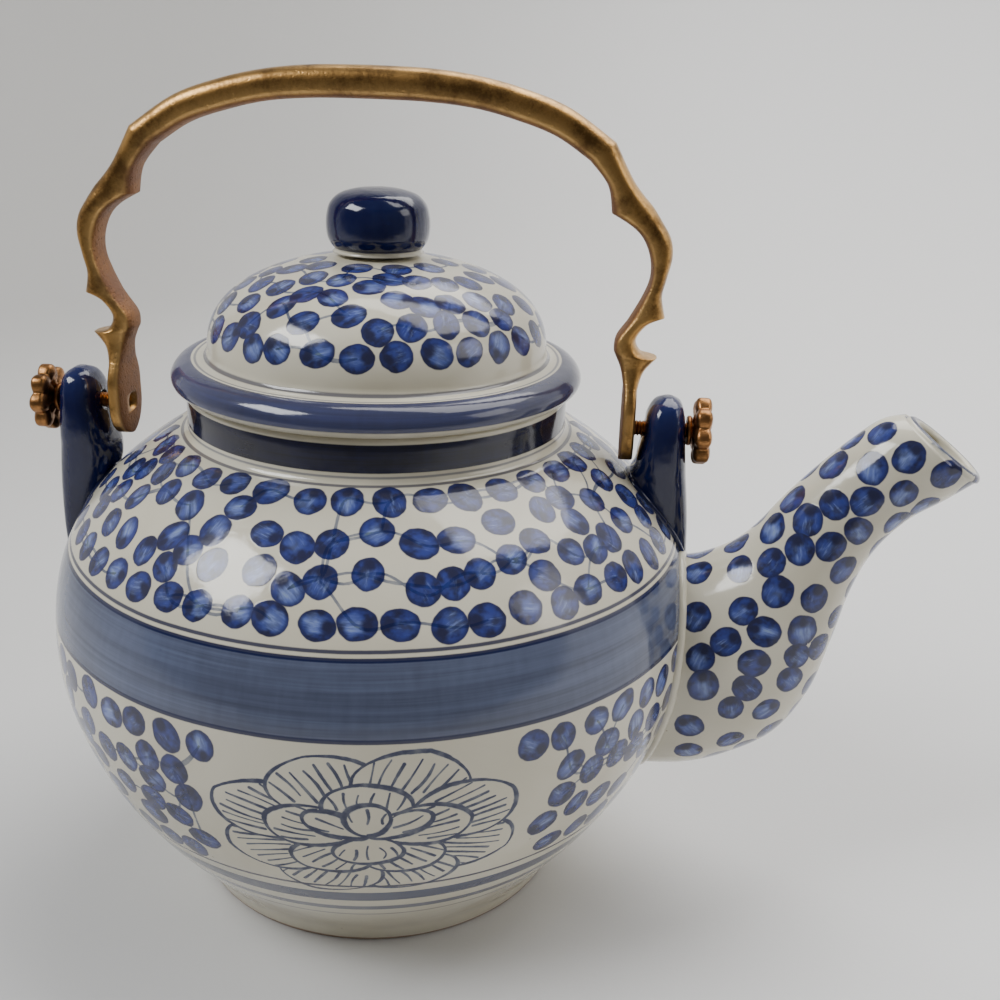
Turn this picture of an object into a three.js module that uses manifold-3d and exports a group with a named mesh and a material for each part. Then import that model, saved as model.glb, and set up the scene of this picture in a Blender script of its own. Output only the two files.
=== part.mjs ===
// Glazed stoneware teapot with a loose lid, a luted spout and a cast brass bail handle.
//
// Millimetres, +Z up. The pot stands on its foot ring at z = 0, the spout points along +X, and the bail
// swings about an axis parallel to X that runs through the two lugs. The whole teapot is moved along X so
// that the origin lies under the middle of its footprint box.
import * as THREE from 'three';
import { mergeVertices } from 'three/addons/utils/BufferGeometryUtils.js';
import Module from 'manifold-3d';

const wasm = await Module();
wasm.setup();

// ---------------------------------------------------------------- driving dimensions
const GAP = 0.3; // left between pieces that touch, are luted together or run in each other
const BODY_SEGMENTS = 60;

const WALL = 4;
const FOOT_RADIUS = 48.2;
const FOOT_RING_WIDTH = 5;
const FOOT_RECESS = 3;
const FLOOR_THICKNESS = 4.5;
const NECK_RADIUS = 45.6;
const NECK_BORE = 41.6;
const NECK_BASE_Z = 117.6;
const NECK_TOP_Z = 127.3;
// The round body from the foot to the neck, as radius and height.
const BODY_CURVE = [
  [51.6, 7.5],
  [63, 22.4],
  [71.8, 37.4],
  [77.3, 52.3],
  [79.4, 65.5],
  [78.4, 80.5],
  [74.1, 93],
  [65.6, 104.2],
  [57, 111.5],
  [49, 116.8],
];
const STRAINER = { holeRadius: 2.5, pitch: 9, centreZ: 62 };

const LID = {
  domeRadius: 40.3,
  domeBaseZ: 136,
  domeHeight: 22.5,
  domePower: 2.5,
  rimRadius: 48.9,
  seatRadius: 46.3,
  wall: 4,
  flangeRadius: 39.9,
  flangeThickness: 3.4,
  flangeBottomZ: 119,
  ventRadius: 1.5,
  ventY: 24,
};
const KNOB = { radius: 12.1, neckRadius: 7.6, topZ: 173.4 };

const CARRIER_SHIFT = -1.6; // the lugs and the bail sit this far back from the pot's own axis
const PIVOT_Z = 119.2;
const LUG_BORE = 2.5;
// Each lug from its tip on the belly to its rounded top: height, inner face, outer face, half width.
const LUG_STATIONS = [
  [80, 75.8, 79.4, 1.6],
  [87, 72.5, 79.2, 3.6],
  [96, 67.5, 78.7, 5.6],
  [103, 64, 78, 7],
  [108, 63.6, 77.4, 7.6],
  [111, 64.7, 77.1, 8],
  [114, 65.2, 76.8, 8.1],
  [119.2, 66.3, 76.2, 7.9],
  [123, 67.4, 75.3, 6.6],
  [126, 69.2, 73.8, 4.2],
  [127.4, 70.8, 72.4, 1.6],
];

const SPOUT_YAW = THREE.MathUtils.degToRad(-5); // luted on a little off the plane of the lugs
const SPOUT_WALL = 3;
const SPOUT_RINGS = 18;
const SPOUT_SEGMENTS = 24;
// Spout sections from the root to the mouth: the lower edge, the upper edge and the half width.
const SPOUT_STATIONS = [
  { low: [64, 31.6], high: [62, 88], half: 19 },
  { low: [80, 33.2], high: [76.6, 88.6], half: 19.4 },
  { low: [92, 37.6], high: [83.5, 90.8], half: 18.6 },
  { low: [103, 45.2], high: [89.5, 94.6], half: 17.4 },
  { low: [110.3, 57.5], high: [94, 99.5], half: 15.6 },
  { low: [114, 71.5], high: [98, 105.2], half: 13.8 },
  { low: [116.8, 85], high: [102, 110.3], half: 12.4 },
  { low: [120.6, 95.3], high: [106.5, 115.5], half: 11.5 },
  { low: [127, 104], high: [112.5, 121.8], half: 11 },
  { low: [135.3, 110.3], high: [118.8, 127.2], half: 10.8 },
  { low: [142.3, 116], high: [124.8, 128.8], half: 10.4 },
];

const BAIL_WIDTH = 9.4; // across the bar, along Y
const BAIL_EDGE = 1.6; // rounding of the bar's edges
const PADDLE = { inner: 60.6, thickness: 3.4, radius: 7.9, topZ: 134, bore: 2.2 };
// One half of the bail's outline above the paddle, from the crown outwards and down.
const BAIL_OUTER_ARCH = [[0, 199.8], [14, 199.4], [23, 198.4], [33.8, 196.2], [45, 192.3], [55.5, 185.2]];
const BAIL_OUTER_ARM = [[55.5, 185.2], [60.2, 176.8], [66.3, 169.6], [69.9, 160.5], [68.2, 151.4], [69.2, 146.6]];
const BAIL_NOTCH = [[69.2, 146.6], [65, 144.8], [62.9, 141], [64.4, 137.6], [68.1, 136.9]];
const BAIL_TAIL = [[68.1, 136.9], [65.3, 133.6], [64, 129.6]];
const BAIL_INNER_ARM = [[60.6, 129.6], [59.6, 134.6], [57.4, 139.6], [61.8, 147.4], [65.2, 155.6], [63.2, 164.2]];
const BAIL_INNER_STEP = [[63.2, 164.2], [59.6, 167.4], [55.4, 169.9]];
const BAIL_INNER_ARCH = [[55.4, 169.9], [54.1, 176], [50.5, 180.6], [44, 185], [35, 188.5], [25, 191.1], [0, 192.6]];

const STUD = { radius: 1.9, innerX: 60.9, outerX: 80.6 };
const WASHER = { inner: 76.6, thickness: 1.1, radius: 3.6, bore: 2.25 };
const ROSETTE = { radius: 8.3, valley: 7, lobes: 8, thickness: 4.4, edge: 1.1, socketDepth: 3 };
// The rear lug was luted on further out than the front one, and the rear screw is not driven home.
const SIDES = [
  { name: 'front', sign: 1, lugOut: 0, screwOut: 0 },
  { name: 'rear', sign: -1, lugOut: 1.4, screwOut: 1.6 },
];

// ---------------------------------------------------------------- finishes
const finish = (color, roughness, metalness) => new THREE.MeshStandardMaterial({ color, roughness, metalness });
const creamGlaze = finish(0xd9d7c8, 0.16, 0);
const navyGlaze = finish(0x1b2452, 0.14, 0);
const agedBrass = finish(0x8a6532, 0.42, 0.9);

// ---------------------------------------------------------------- solids and booleans
/** Turns a closed geometry into a manifold solid whose faces point outwards. */
function toSolid(geometry) {
  const bare = geometry.clone();
  bare.deleteAttribute('normal');
  bare.deleteAttribute('uv');
  const merged = mergeVertices(bare, 1e-4);
  const vertProperties = new Float32Array(merged.attributes.position.array);
  const make = (triVerts) => new wasm.Manifold(new wasm.Mesh({ numProp: 3, vertProperties, triVerts }));
  const corners = merged.index.array;
  const triangles = [];
  for (let i = 0; i < corners.length; i += 3) {
    const [a, b, c] = [corners[i], corners[i + 1], corners[i + 2]];
    if (a !== b && b !== c && c !== a) triangles.push(a, b, c);
  }
  const solid = make(new Uint32Array(triangles));
  if (solid.volume() > 0) return solid;
  for (let i = 0; i < triangles.length; i += 3) {
    [triangles[i], triangles[i + 1]] = [triangles[i + 1], triangles[i]];
  }
  return make(new Uint32Array(triangles));
}

/** Turns a manifold solid back into a three.js geometry. */
function toGeometry(solid) {
  const mesh = solid.getMesh();
  const geometry = new THREE.BufferGeometry();
  geometry.setAttribute('position', new THREE.BufferAttribute(new Float32Array(mesh.vertProperties), 3));
  geometry.setIndex(new THREE.BufferAttribute(new Uint32Array(mesh.triVerts), 1));
  geometry.computeVertexNormals();
  return geometry;
}

/** A solid of revolution about Z from [radius, height] points. */
function turned(profile, segments) {
  const points = profile.map(([radius, height]) => new THREE.Vector2(radius, height));
  return toSolid(new THREE.LatheGeometry(points, segments).rotateX(Math.PI / 2));
}

/** A straight round bar along X, centred at (x, y, z). */
function barAlongX(radius, length, x, y, z, segments = 16) {
  const geometry = new THREE.CylinderGeometry(radius, radius, length, segments);
  return toSolid(geometry.rotateZ(Math.PI / 2).translate(x, y, z));
}

const turnAboutZ = (solid, angle) => toSolid(toGeometry(solid).rotateZ(angle));

/** A distance out from the middle of the bail, on one side, as an X coordinate. */
const place = (sign, outwards) => sign * outwards + CARRIER_SHIFT;

/** A closed solid through rings of equal point count, capped flat at both ends. */
function loft(rings) {
  const count = rings[0].length;
  const positions = rings.flat().flatMap((point) => point.toArray());
  const index = [];
  for (let r = 0; r + 1 < rings.length; r += 1) {
    for (let i = 0; i < count; i += 1) {
      const a = r * count + i;
      const b = r * count + ((i + 1) % count);
      index.push(a, b, a + count, b, b + count, a + count);
    }
  }
  for (const [ring, flip] of [[0, true], [rings.length - 1, false]]) {
    const middle = rings[ring].reduce((sum, point) => sum.add(point), new THREE.Vector3()).divideScalar(count);
    const centre = positions.length / 3;
    positions.push(...middle.toArray());
    for (let i = 0; i < count; i += 1) {
      const a = ring * count + i;
      const b = ring * count + ((i + 1) % count);
      index.push(...(flip ? [b, a, centre] : [a, b, centre]));
    }
  }
  const geometry = new THREE.BufferGeometry();
  geometry.setAttribute('position', new THREE.Float32BufferAttribute(positions, 3));
  geometry.setIndex(index);
  return toSolid(geometry);
}

// ---------------------------------------------------------------- body
/** Points of the outer body curve moved inwards by an inset, foot end first. */
function bodyCurve(inset, samples) {
  const curve = new THREE.SplineCurve(BODY_CURVE.map(([radius, height]) => new THREE.Vector2(radius, height)));
  const points = [];
  for (let i = 0; i <= samples; i += 1) {
    const point = curve.getPoint(i / samples);
    const tangent = curve.getTangent(i / samples);
    points.push([point.x - tangent.y * inset, point.y + tangent.x * inset]);
  }
  return points;
}

function makeBody() {
  const outside = [
    [0, FOOT_RECESS],
    [FOOT_RADIUS - FOOT_RING_WIDTH - 1, FOOT_RECESS],
    [FOOT_RADIUS - FOOT_RING_WIDTH, 0],
    [FOOT_RADIUS, 0],
    [FOOT_RADIUS + 0.6, 4.5],
    ...bodyCurve(0, 20),
    [NECK_RADIUS, NECK_BASE_Z + 0.6],
    [NECK_RADIUS, NECK_TOP_Z],
    [NECK_BORE, NECK_TOP_Z],
    [NECK_BORE, NECK_BASE_Z - 1],
  ];
  const inside = bodyCurve(WALL, 12).reverse().filter(([radius]) => radius > NECK_BORE);
  const floorZ = FOOT_RECESS + FLOOR_THICKNESS;
  const lowest = inside[inside.length - 1];
  const cavityFloor = [[lowest[0] - 8, floorZ], [0, floorZ]];
  const shell = turned([...outside, ...inside, ...cavityFloor], BODY_SEGMENTS);
  let body = shell;
  for (const [y, z] of strainerHoles()) {
    const drill = barAlongX(STRAINER.holeRadius, 40, 76, y, z, 10);
    body = body.subtract(turnAboutZ(drill, SPOUT_YAW));
  }
  return body;
}

/** The strainer's hole centres behind the spout: one in the middle and a ring of six. */
function strainerHoles() {
  const holes = [[0, STRAINER.centreZ]];
  for (let i = 0; i < 6; i += 1) {
    const angle = (i * Math.PI) / 3;
    holes.push([STRAINER.pitch * Math.sin(angle), STRAINER.centreZ + STRAINER.pitch * Math.cos(angle)]);
  }
  return holes;
}

/** The space that the body fills, grown by the gap, which luted pieces are cut back to. */
function bodyClearance() {
  const grown = bodyCurve(-GAP, 20);
  return turned([[0, 1], [grown[0][0], 1], ...grown, [NECK_RADIUS + GAP, NECK_BASE_Z + 0.6], [0, NECK_BASE_Z + 0.6]],
    BODY_SEGMENTS);
}

// ---------------------------------------------------------------- spout
/** One elliptical section of the spout, inset from its outer surface. */
function spoutRing(t, inset, push = 0) {
  const path = (key) => new THREE.SplineCurve(SPOUT_STATIONS.map((s) => new THREE.Vector2(...s[key])));
  const low = path('low').getPoint(t);
  const high = path('high').getPoint(t);
  const halves = new THREE.SplineCurve(SPOUT_STATIONS.map((s, i) => new THREE.Vector2(i, s.half)));
  const half = halves.getPoint(t).y - inset;
  const up = high.clone().sub(low).normalize();
  const along = new THREE.Vector2(up.y, -up.x).multiplyScalar(push);
  const reach = high.distanceTo(low) / 2 - inset;
  const centre = high.clone().add(low).multiplyScalar(0.5).add(along);
  const ring = [];
  for (let i = 0; i < SPOUT_SEGMENTS; i += 1) {
    const angle = (i / SPOUT_SEGMENTS) * 2 * Math.PI;
    const x = centre.x + up.x * reach * Math.cos(angle);
    const z = centre.y + up.y * reach * Math.cos(angle);
    ring.push(new THREE.Vector3(x, half * Math.sin(angle), z));
  }
  return ring;
}

/** The spout's rings from root to mouth, inset from its outer surface. */
const spoutRings = (inset) =>
  Array.from({ length: SPOUT_RINGS + 1 }, (_, i) => spoutRing(i / SPOUT_RINGS, inset));

function makeSpout(bodySpace) {
  const channel = loft([...spoutRings(SPOUT_WALL), spoutRing(1, SPOUT_WALL - 0.6, 2)]);
  return turnAboutZ(loft(spoutRings(0)).subtract(channel), SPOUT_YAW).subtract(bodySpace);
}

/** The space that the spout fills, grown by the gap. */
const spoutClearance = () => turnAboutZ(loft(spoutRings(-GAP)), SPOUT_YAW);

// ---------------------------------------------------------------- lugs
/** One side's lug: a tapered slab with a rounded top and a bore for the screw. */
function makeLug({ sign, lugOut }, takenSpace) {
  const corners = 20;
  const squareness = 0.75;
  const rounded = (value) => Math.sign(value) * Math.abs(value) ** squareness;
  const rings = LUG_STATIONS.map(([z, inner, outer, half]) => {
    const centre = (inner + outer) / 2 + lugOut;
    const reach = (outer - inner) / 2;
    return Array.from({ length: corners }, (_, i) => {
      const angle = (i / corners) * 2 * Math.PI;
      const x = place(sign, centre + reach * rounded(Math.cos(angle)));
      return new THREE.Vector3(x, half * rounded(Math.sin(angle)), z);
    });
  });
  const bore = barAlongX(LUG_BORE, 40, place(sign, 72), 0, PIVOT_Z);
  return loft(rings).subtract(takenSpace).subtract(bore);
}

// ---------------------------------------------------------------- lid
/** Dome radius at a height above the dome's base, for an inset surface. */
function domeRadiusAt(height, inset) {
  const reach = LID.domeHeight - inset;
  return (LID.domeRadius - inset) * (1 - Math.min(1, height / reach) ** LID.domePower) ** 0.5;
}

/** Dome points from its top to its base, for an inset surface. */
function domeCurve(inset, samples) {
  const reach = LID.domeHeight - inset;
  return Array.from({ length: samples + 1 }, (_, i) => {
    const height = reach * Math.cos(((i / samples) * Math.PI) / 2) ** 0.8;
    return [domeRadiusAt(height, inset), LID.domeBaseZ + height];
  });
}

function makeLid() {
  const seatZ = NECK_TOP_Z + GAP;
  const outer = domeCurve(0, 9);
  const rim = [
    [41.8, 134.6],
    [45, 134.5],
    [47.6, 133.2],
    [LID.rimRadius, 130.9],
    [48.3, 128.9],
    [LID.seatRadius, seatZ],
  ];
  const flange = [
    [LID.flangeRadius, seatZ],
    [LID.flangeRadius, LID.flangeBottomZ],
    [LID.flangeRadius - LID.flangeThickness, LID.flangeBottomZ],
    [LID.flangeRadius - LID.flangeThickness, 131],
  ];
  const hollow = domeCurve(LID.wall, 7).reverse();
  const lid = turned([...outer, ...rim, ...flange, ...hollow], 52);
  const vent = toSolid(
    new THREE.CylinderGeometry(LID.ventRadius, LID.ventRadius, 24, 10)
      .rotateX(Math.PI / 2)
      .translate(0, LID.ventY, LID.domeBaseZ + LID.domeHeight - 6),
  );
  return lid.subtract(vent);
}

function makeKnob() {
  const foot = LID.domeBaseZ + LID.domeHeight + GAP;
  const profile = [
    [0, foot],
    [KNOB.neckRadius + 1.4, foot],
    [KNOB.neckRadius + 0.2, foot + 0.9],
    [10, foot + 1.6],
    [11.5, foot + 3],
    [KNOB.radius, foot + 5.4],
    [11.8, foot + 8.2],
    [10.7, foot + 11],
    [8.6, foot + 13],
    [5.2, foot + 14.2],
    [0, KNOB.topZ],
  ];
  return turned(profile, 28);
}

// ---------------------------------------------------------------- bail
/** Points of a smooth curve through a list of points. */
const smooth = (points, samples) =>
  new THREE.SplineCurve(points.map(([x, z]) => new THREE.Vector2(x, z))).getPoints(samples);

/** The bail's outline in its own plane, both halves, crown to paddles. */
function bailOutline() {
  const half = [
    ...smooth(BAIL_OUTER_ARCH, 10),
    ...smooth(BAIL_OUTER_ARM, 10),
    ...smooth(BAIL_NOTCH, 6),
    ...smooth(BAIL_TAIL, 4),
    ...smooth(BAIL_INNER_ARM, 10),
    ...smooth(BAIL_INNER_STEP, 4),
    ...smooth(BAIL_INNER_ARCH, 11),
  ];
  const right = half.filter((point, i) => i === 0 || point.distanceTo(half[i - 1]) > 0.05);
  const left = right.map((point) => new THREE.Vector2(-point.x, point.y)).reverse();
  return [...right, ...left.filter((point) => Math.abs(point.x) > 0.01)];
}

/** One half's flat end: a plate with a round bottom about the pivot, tapering up into the bar. */
function makePaddle(sign) {
  const shape = new THREE.Shape();
  const neck = BAIL_WIDTH / 2;
  const shoulderZ = PIVOT_Z + 6;
  shape.moveTo(neck, PADDLE.topZ);
  shape.lineTo(PADDLE.radius, shoulderZ);
  shape.lineTo(PADDLE.radius, PIVOT_Z);
  shape.absarc(0, PIVOT_Z, PADDLE.radius, 0, Math.PI, true);
  shape.lineTo(-PADDLE.radius, shoulderZ);
  shape.lineTo(-neck, PADDLE.topZ);
  shape.closePath();
  const options = { depth: PADDLE.thickness, bevelEnabled: false, curveSegments: 12 };
  const geometry = new THREE.ExtrudeGeometry(shape, options);
  // The shape's own x and y become Y and Z, and its depth becomes X.
  const turn = new THREE.Matrix4().makeBasis(
    new THREE.Vector3(0, 1, 0), new THREE.Vector3(0, 0, 1), new THREE.Vector3(1, 0, 0));
  const inner = sign > 0 ? PADDLE.inner : -PADDLE.inner - PADDLE.thickness;
  return toSolid(geometry.applyMatrix4(turn).translate(inner, 0, 0));
}

function makeBail() {
  const bar = new THREE.ExtrudeGeometry(new THREE.Shape(bailOutline()), {
    depth: BAIL_WIDTH - 2 * BAIL_EDGE,
    bevelThickness: BAIL_EDGE,
    bevelSize: BAIL_EDGE * 0.6,
    bevelOffset: -BAIL_EDGE * 0.6,
    bevelSegments: 1,
  });
  // The outline's y becomes Z, and the extrusion runs along Y.
  bar.translate(0, 0, -(BAIL_WIDTH - 2 * BAIL_EDGE) / 2).rotateX(Math.PI / 2);
  let bail = toSolid(bar).add(makePaddle(1)).add(makePaddle(-1));
  for (const sign of [1, -1]) {
    bail = bail.subtract(barAlongX(PADDLE.bore, 30, sign * PADDLE.inner, 0, PIVOT_Z));
  }
  return toSolid(toGeometry(bail).translate(CARRIER_SHIFT, 0, 0));
}

// ---------------------------------------------------------------- screws
function makeStud({ sign, screwOut }) {
  const length = STUD.outerX - STUD.innerX;
  const middle = (STUD.outerX + STUD.innerX) / 2 + screwOut;
  return barAlongX(STUD.radius, length, place(sign, middle), 0, PIVOT_Z);
}

function makeWasher({ sign, screwOut }) {
  const middle = place(sign, WASHER.inner + WASHER.thickness / 2 + screwOut);
  const disc = barAlongX(WASHER.radius, WASHER.thickness, middle, 0, PIVOT_Z, 20);
  return disc.subtract(barAlongX(WASHER.bore, 10, middle, 0, PIVOT_Z));
}

/** A cast flower head: a lobed disc with softened edges, bored from behind for the stud. */
function makeRosette({ sign, screwOut }) {
  const middle = (ROSETTE.radius + ROSETTE.valley) / 2 - ROSETTE.edge;
  const swing = (ROSETTE.radius - ROSETTE.valley) / 2;
  const outline = Array.from({ length: ROSETTE.lobes * 4 }, (_, i) => {
    const angle = (i / (ROSETTE.lobes * 4)) * 2 * Math.PI;
    const radius = middle + swing * Math.cos(ROSETTE.lobes * angle);
    return new THREE.Vector2(radius * Math.cos(angle), radius * Math.sin(angle));
  });
  const head = new THREE.ExtrudeGeometry(new THREE.Shape(outline), {
    depth: ROSETTE.thickness - 2 * ROSETTE.edge,
    bevelThickness: ROSETTE.edge,
    bevelSize: ROSETTE.edge,
    bevelSegments: 1,
  });
  const inner = WASHER.inner + WASHER.thickness + GAP + screwOut;
  head.translate(0, 0, ROSETTE.edge + inner).rotateY((sign * Math.PI) / 2).translate(CARRIER_SHIFT, 0, PIVOT_Z);
  // The socket's bar starts short of the back face, so that it cuts cleanly through it.
  const socket = barAlongX(STUD.radius + GAP, 2 * ROSETTE.socketDepth, place(sign, inner), 0, PIVOT_Z);
  return toSolid(head).subtract(socket);
}

// ---------------------------------------------------------------- assembly
const teapot = new THREE.Group();

function addPiece(name, solid, material) {
  const mesh = new THREE.Mesh(toGeometry(solid), material);
  mesh.name = name;
  teapot.add(mesh);
}

const bodySpace = bodyClearance();
const takenSpace = bodySpace.add(spoutClearance());
addPiece('pot_body', makeBody(), creamGlaze);
addPiece('spout', makeSpout(bodySpace), creamGlaze);
addPiece('lid', makeLid(), creamGlaze);
addPiece('lid_knob', makeKnob(), navyGlaze);
addPiece('bail_handle', makeBail(), agedBrass);
for (const side of SIDES) {
  addPiece(`lug_${side.name}`, makeLug(side, takenSpace), navyGlaze);
  addPiece(`screw_stud_${side.name}`, makeStud(side), agedBrass);
  addPiece(`screw_washer_${side.name}`, makeWasher(side), agedBrass);
  addPiece(`rosette_${side.name}`, makeRosette(side), agedBrass);
}

// The origin goes under the middle of the footprint box.
const footprint = new THREE.Box3().setFromObject(teapot);
teapot.position.x = -(footprint.min.x + footprint.max.x) / 2;

export default teapot;
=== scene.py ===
"""A glazed stoneware teapot, painted in blue, with a cast brass bail, dressed round its CAD frame.

Sizes are millimetres and become metres when a mesh is made. The pot is turned about its own upright
axis, which the lid's box gives. The lugs, the bail and the screws share a second middle, which the
bail's box gives.
"""

import logging
import math
from collections.abc import Callable, Sequence
from dataclasses import dataclass, field
from enum import Enum

import bpy
import numpy as np
from mathutils import Matrix, Vector
from mathutils.kdtree import KDTree


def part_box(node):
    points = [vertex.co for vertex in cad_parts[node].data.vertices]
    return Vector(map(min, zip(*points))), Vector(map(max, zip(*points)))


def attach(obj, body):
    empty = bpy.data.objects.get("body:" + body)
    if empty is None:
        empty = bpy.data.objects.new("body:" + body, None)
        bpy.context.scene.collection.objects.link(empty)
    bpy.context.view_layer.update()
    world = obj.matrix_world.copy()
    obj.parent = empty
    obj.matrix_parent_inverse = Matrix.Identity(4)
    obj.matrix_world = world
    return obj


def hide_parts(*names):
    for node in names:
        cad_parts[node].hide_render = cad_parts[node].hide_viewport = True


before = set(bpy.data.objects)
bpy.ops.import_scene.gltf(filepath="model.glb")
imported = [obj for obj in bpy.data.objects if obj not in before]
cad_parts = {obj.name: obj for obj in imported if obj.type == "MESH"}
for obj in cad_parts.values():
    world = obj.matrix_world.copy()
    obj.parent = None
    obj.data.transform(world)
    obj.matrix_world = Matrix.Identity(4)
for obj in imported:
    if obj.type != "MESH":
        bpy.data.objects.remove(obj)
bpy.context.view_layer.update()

MM = 0.001
LOG = logging.getLogger("teapot")
Socket = bpy.types.NodeSocket


def middle(node: str) -> Vector:
    """The middle of a CAD node's box, in millimetres.

    Args:
        node: The CAD node.

    Returns:
        The middle.
    """
    low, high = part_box(node)
    return (low + high) / 2 / MM


AXIS_X = middle("lid").x
CARRIER_X = middle("bail_handle").x
PIVOT_Z = middle("screw_stud_front").z


class Side(Enum):
    """The two ends of the bail, each with its direction along X and its own looseness."""

    FRONT = ("front", 1, 0.0, 0.0)
    REAR = ("rear", -1, 1.4, 1.6)

    def __init__(self, label: str, sign: int, lug_out: float, screw_out: float) -> None:
        self.label = label
        self.sign = sign
        self.lug_out = lug_out
        self.screw_out = screw_out


class Tint(Enum):
    """The potter's and the founder's colours, as linear red, green, blue and alpha."""

    CREAM = (0.66, 0.62, 0.50, 1.0)
    CREAM_SHADE = (0.55, 0.50, 0.37, 1.0)
    IRON = (0.20, 0.13, 0.07, 1.0)
    NAVY = (0.0035, 0.006, 0.045, 1.0)
    COBALT = (0.016, 0.033, 0.215, 1.0)
    PALE_BLUE = (0.27, 0.37, 0.78, 1.0)
    INK = (0.008, 0.013, 0.060, 1.0)
    STEM = (0.085, 0.115, 0.19, 1.0)
    SLATE = (0.042, 0.058, 0.130, 1.0)
    WASH_DARK = (0.024, 0.037, 0.095, 1.0)
    WASH_LIGHT = (0.085, 0.115, 0.220, 1.0)
    RIM_DARK = (0.007, 0.012, 0.058, 1.0)
    RIM_LIGHT = (0.020, 0.030, 0.120, 1.0)
    GLAZE_BLACK = (0.0015, 0.002, 0.006, 1.0)
    BARE_CLAY = (0.33, 0.20, 0.13, 1.0)
    BRASS = (0.43, 0.238, 0.076, 1.0)
    BRASS_COPPERY = (0.33, 0.135, 0.048, 1.0)
    # Worn brass, also painted on the bail's outer face as a sheen.
    BRASS_BRIGHT = (0.82, 0.52, 0.20, 1.0)
    BRASS_BROWN = (0.070, 0.034, 0.012, 1.0)
    BRASS_RED = (0.20, 0.085, 0.045, 1.0)
    # The sheet's own tone, then the painted shade to its left and the painted shadow in front of the pot.
    SHEET = (0.76, 0.757, 0.755, 1.0)
    SHEET_SHADE = (0.47, 0.463, 0.45, 1.0)
    SHEET_PAINTED_SHADOW = (0.10, 0.10, 0.10, 1.0)


# ---------------------------------------------------------------- curves and meshes


def spline(points: Sequence[Sequence[float]], where: np.ndarray) -> np.ndarray:
    """Reads a smooth curve through points that are evenly spaced in its parameter.

    Args:
        points: The points that the curve passes through.
        where: Parameters from 0, the first point, to 1, the last.

    Returns:
        One row for each parameter.
    """
    known = np.asarray(points, float).reshape(len(points), -1)
    padded = np.vstack([known[:1], known, known[-1:]])
    position = np.clip(np.asarray(where, float), 0, 1) * (len(known) - 1)
    start = np.minimum(position.astype(int), len(known) - 2)
    part = (position - start)[..., None]
    before, low, high, after = (padded[start + k] for k in range(4))
    return 0.5 * (
        2 * low
        + (high - before) * part
        + (2 * before - 5 * low + 4 * high - after) * part**2
        + (3 * low - before - 3 * high + after) * part**3
    )


def lengths_along(points: np.ndarray) -> np.ndarray:
    """The distance from a polyline's start to each of its points.

    Args:
        points: The polyline.

    Returns:
        One distance a point.
    """
    steps = np.linalg.norm(np.diff(points, axis=0), axis=1)
    return np.concatenate([[0.0], np.cumsum(steps)])


def resample(points: np.ndarray, distances: np.ndarray) -> np.ndarray:
    """Points of a polyline at the given distances from its start.

    Args:
        points: The polyline.
        distances: Where the new points lie along it.

    Returns:
        One point a distance.
    """
    along = lengths_along(points)
    return np.stack([np.interp(distances, along, column) for column in points.T], axis=1)


def evenly(points: Sequence[Sequence[float]], step: float) -> np.ndarray:
    """A smooth curve through points, resampled to about one step between samples.

    Args:
        points: What the curve runs through.
        step: About how far apart the samples are.

    Returns:
        The samples.
    """
    fine = spline(points, np.linspace(0, 1, 40 * len(points)))
    total = lengths_along(fine)[-1]
    return resample(fine, np.linspace(0, total, max(2, round(total / step) + 1)))


def straight(points: Sequence[Sequence[float]], step: float) -> np.ndarray:
    """A polyline with its corners kept, filled in to about one step between samples.

    Args:
        points: The corners.
        step: About how far apart the samples are.

    Returns:
        The samples.
    """
    known = np.asarray(points, float)
    rows = [known[:1]]
    for start, end in zip(known[:-1], known[1:]):
        count = max(1, round(float(np.linalg.norm(end - start)) / step))
        rows.append(start + (end - start) * np.linspace(0, 1, count + 1)[1:, None])
    return np.vstack(rows)


def unit(vectors: np.ndarray) -> np.ndarray:
    """Vectors scaled to length one.

    Args:
        vectors: Vectors along the last axis.

    Returns:
        The scaled vectors.
    """
    return vectors / np.maximum(np.linalg.norm(vectors, axis=-1, keepdims=True), 1e-12)


def signed_volume(mesh: bpy.types.Mesh) -> float:
    """The volume inside a closed mesh, negative when its faces point inwards.

    Args:
        mesh: The closed mesh.

    Returns:
        The volume in cubic metres.
    """
    mesh.calc_loop_triangles()
    corners = np.empty(len(mesh.loop_triangles) * 3, np.int32)
    mesh.loop_triangles.foreach_get("vertices", corners)
    places = np.empty(len(mesh.vertices) * 3)
    mesh.vertices.foreach_get("co", places)
    places = places.reshape(-1, 3)
    places -= places.mean(axis=0)
    a, b, c = (places[corners[k::3]] for k in range(3))
    return float(np.einsum("ij,ij->i", a, np.cross(b, c)).sum() / 6)


def shade_smooth(mesh: bpy.types.Mesh) -> None:
    """Shades every face of a mesh smooth.

    Args:
        mesh: The mesh to change.
    """
    mesh.polygons.foreach_set("use_smooth", np.ones(len(mesh.polygons), bool))


def make_piece(name: str, vertices: np.ndarray, faces: list, middle_x: float) -> bpy.types.Object:
    """Makes a closed, smooth-shaded object from millimetre vertices, with its faces pointed outwards.

    Args:
        name: The piece's name.
        vertices: Places in millimetres, with x measured from middle_x.
        faces: Vertex numbers of each face.
        middle_x: Where x = 0 of the vertices lies along X in the row frame.

    Returns:
        The new object, at the origin.
    """
    mesh = bpy.data.meshes.new(name)
    placed = (np.asarray(vertices, float) + (middle_x, 0, 0)) * MM
    mesh.from_pydata(placed.tolist(), [], faces)
    if signed_volume(mesh) < 0:
        mesh.flip_normals()
    shade_smooth(mesh)
    piece = bpy.data.objects.new(name, mesh)
    bpy.context.collection.objects.link(piece)
    return piece


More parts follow.
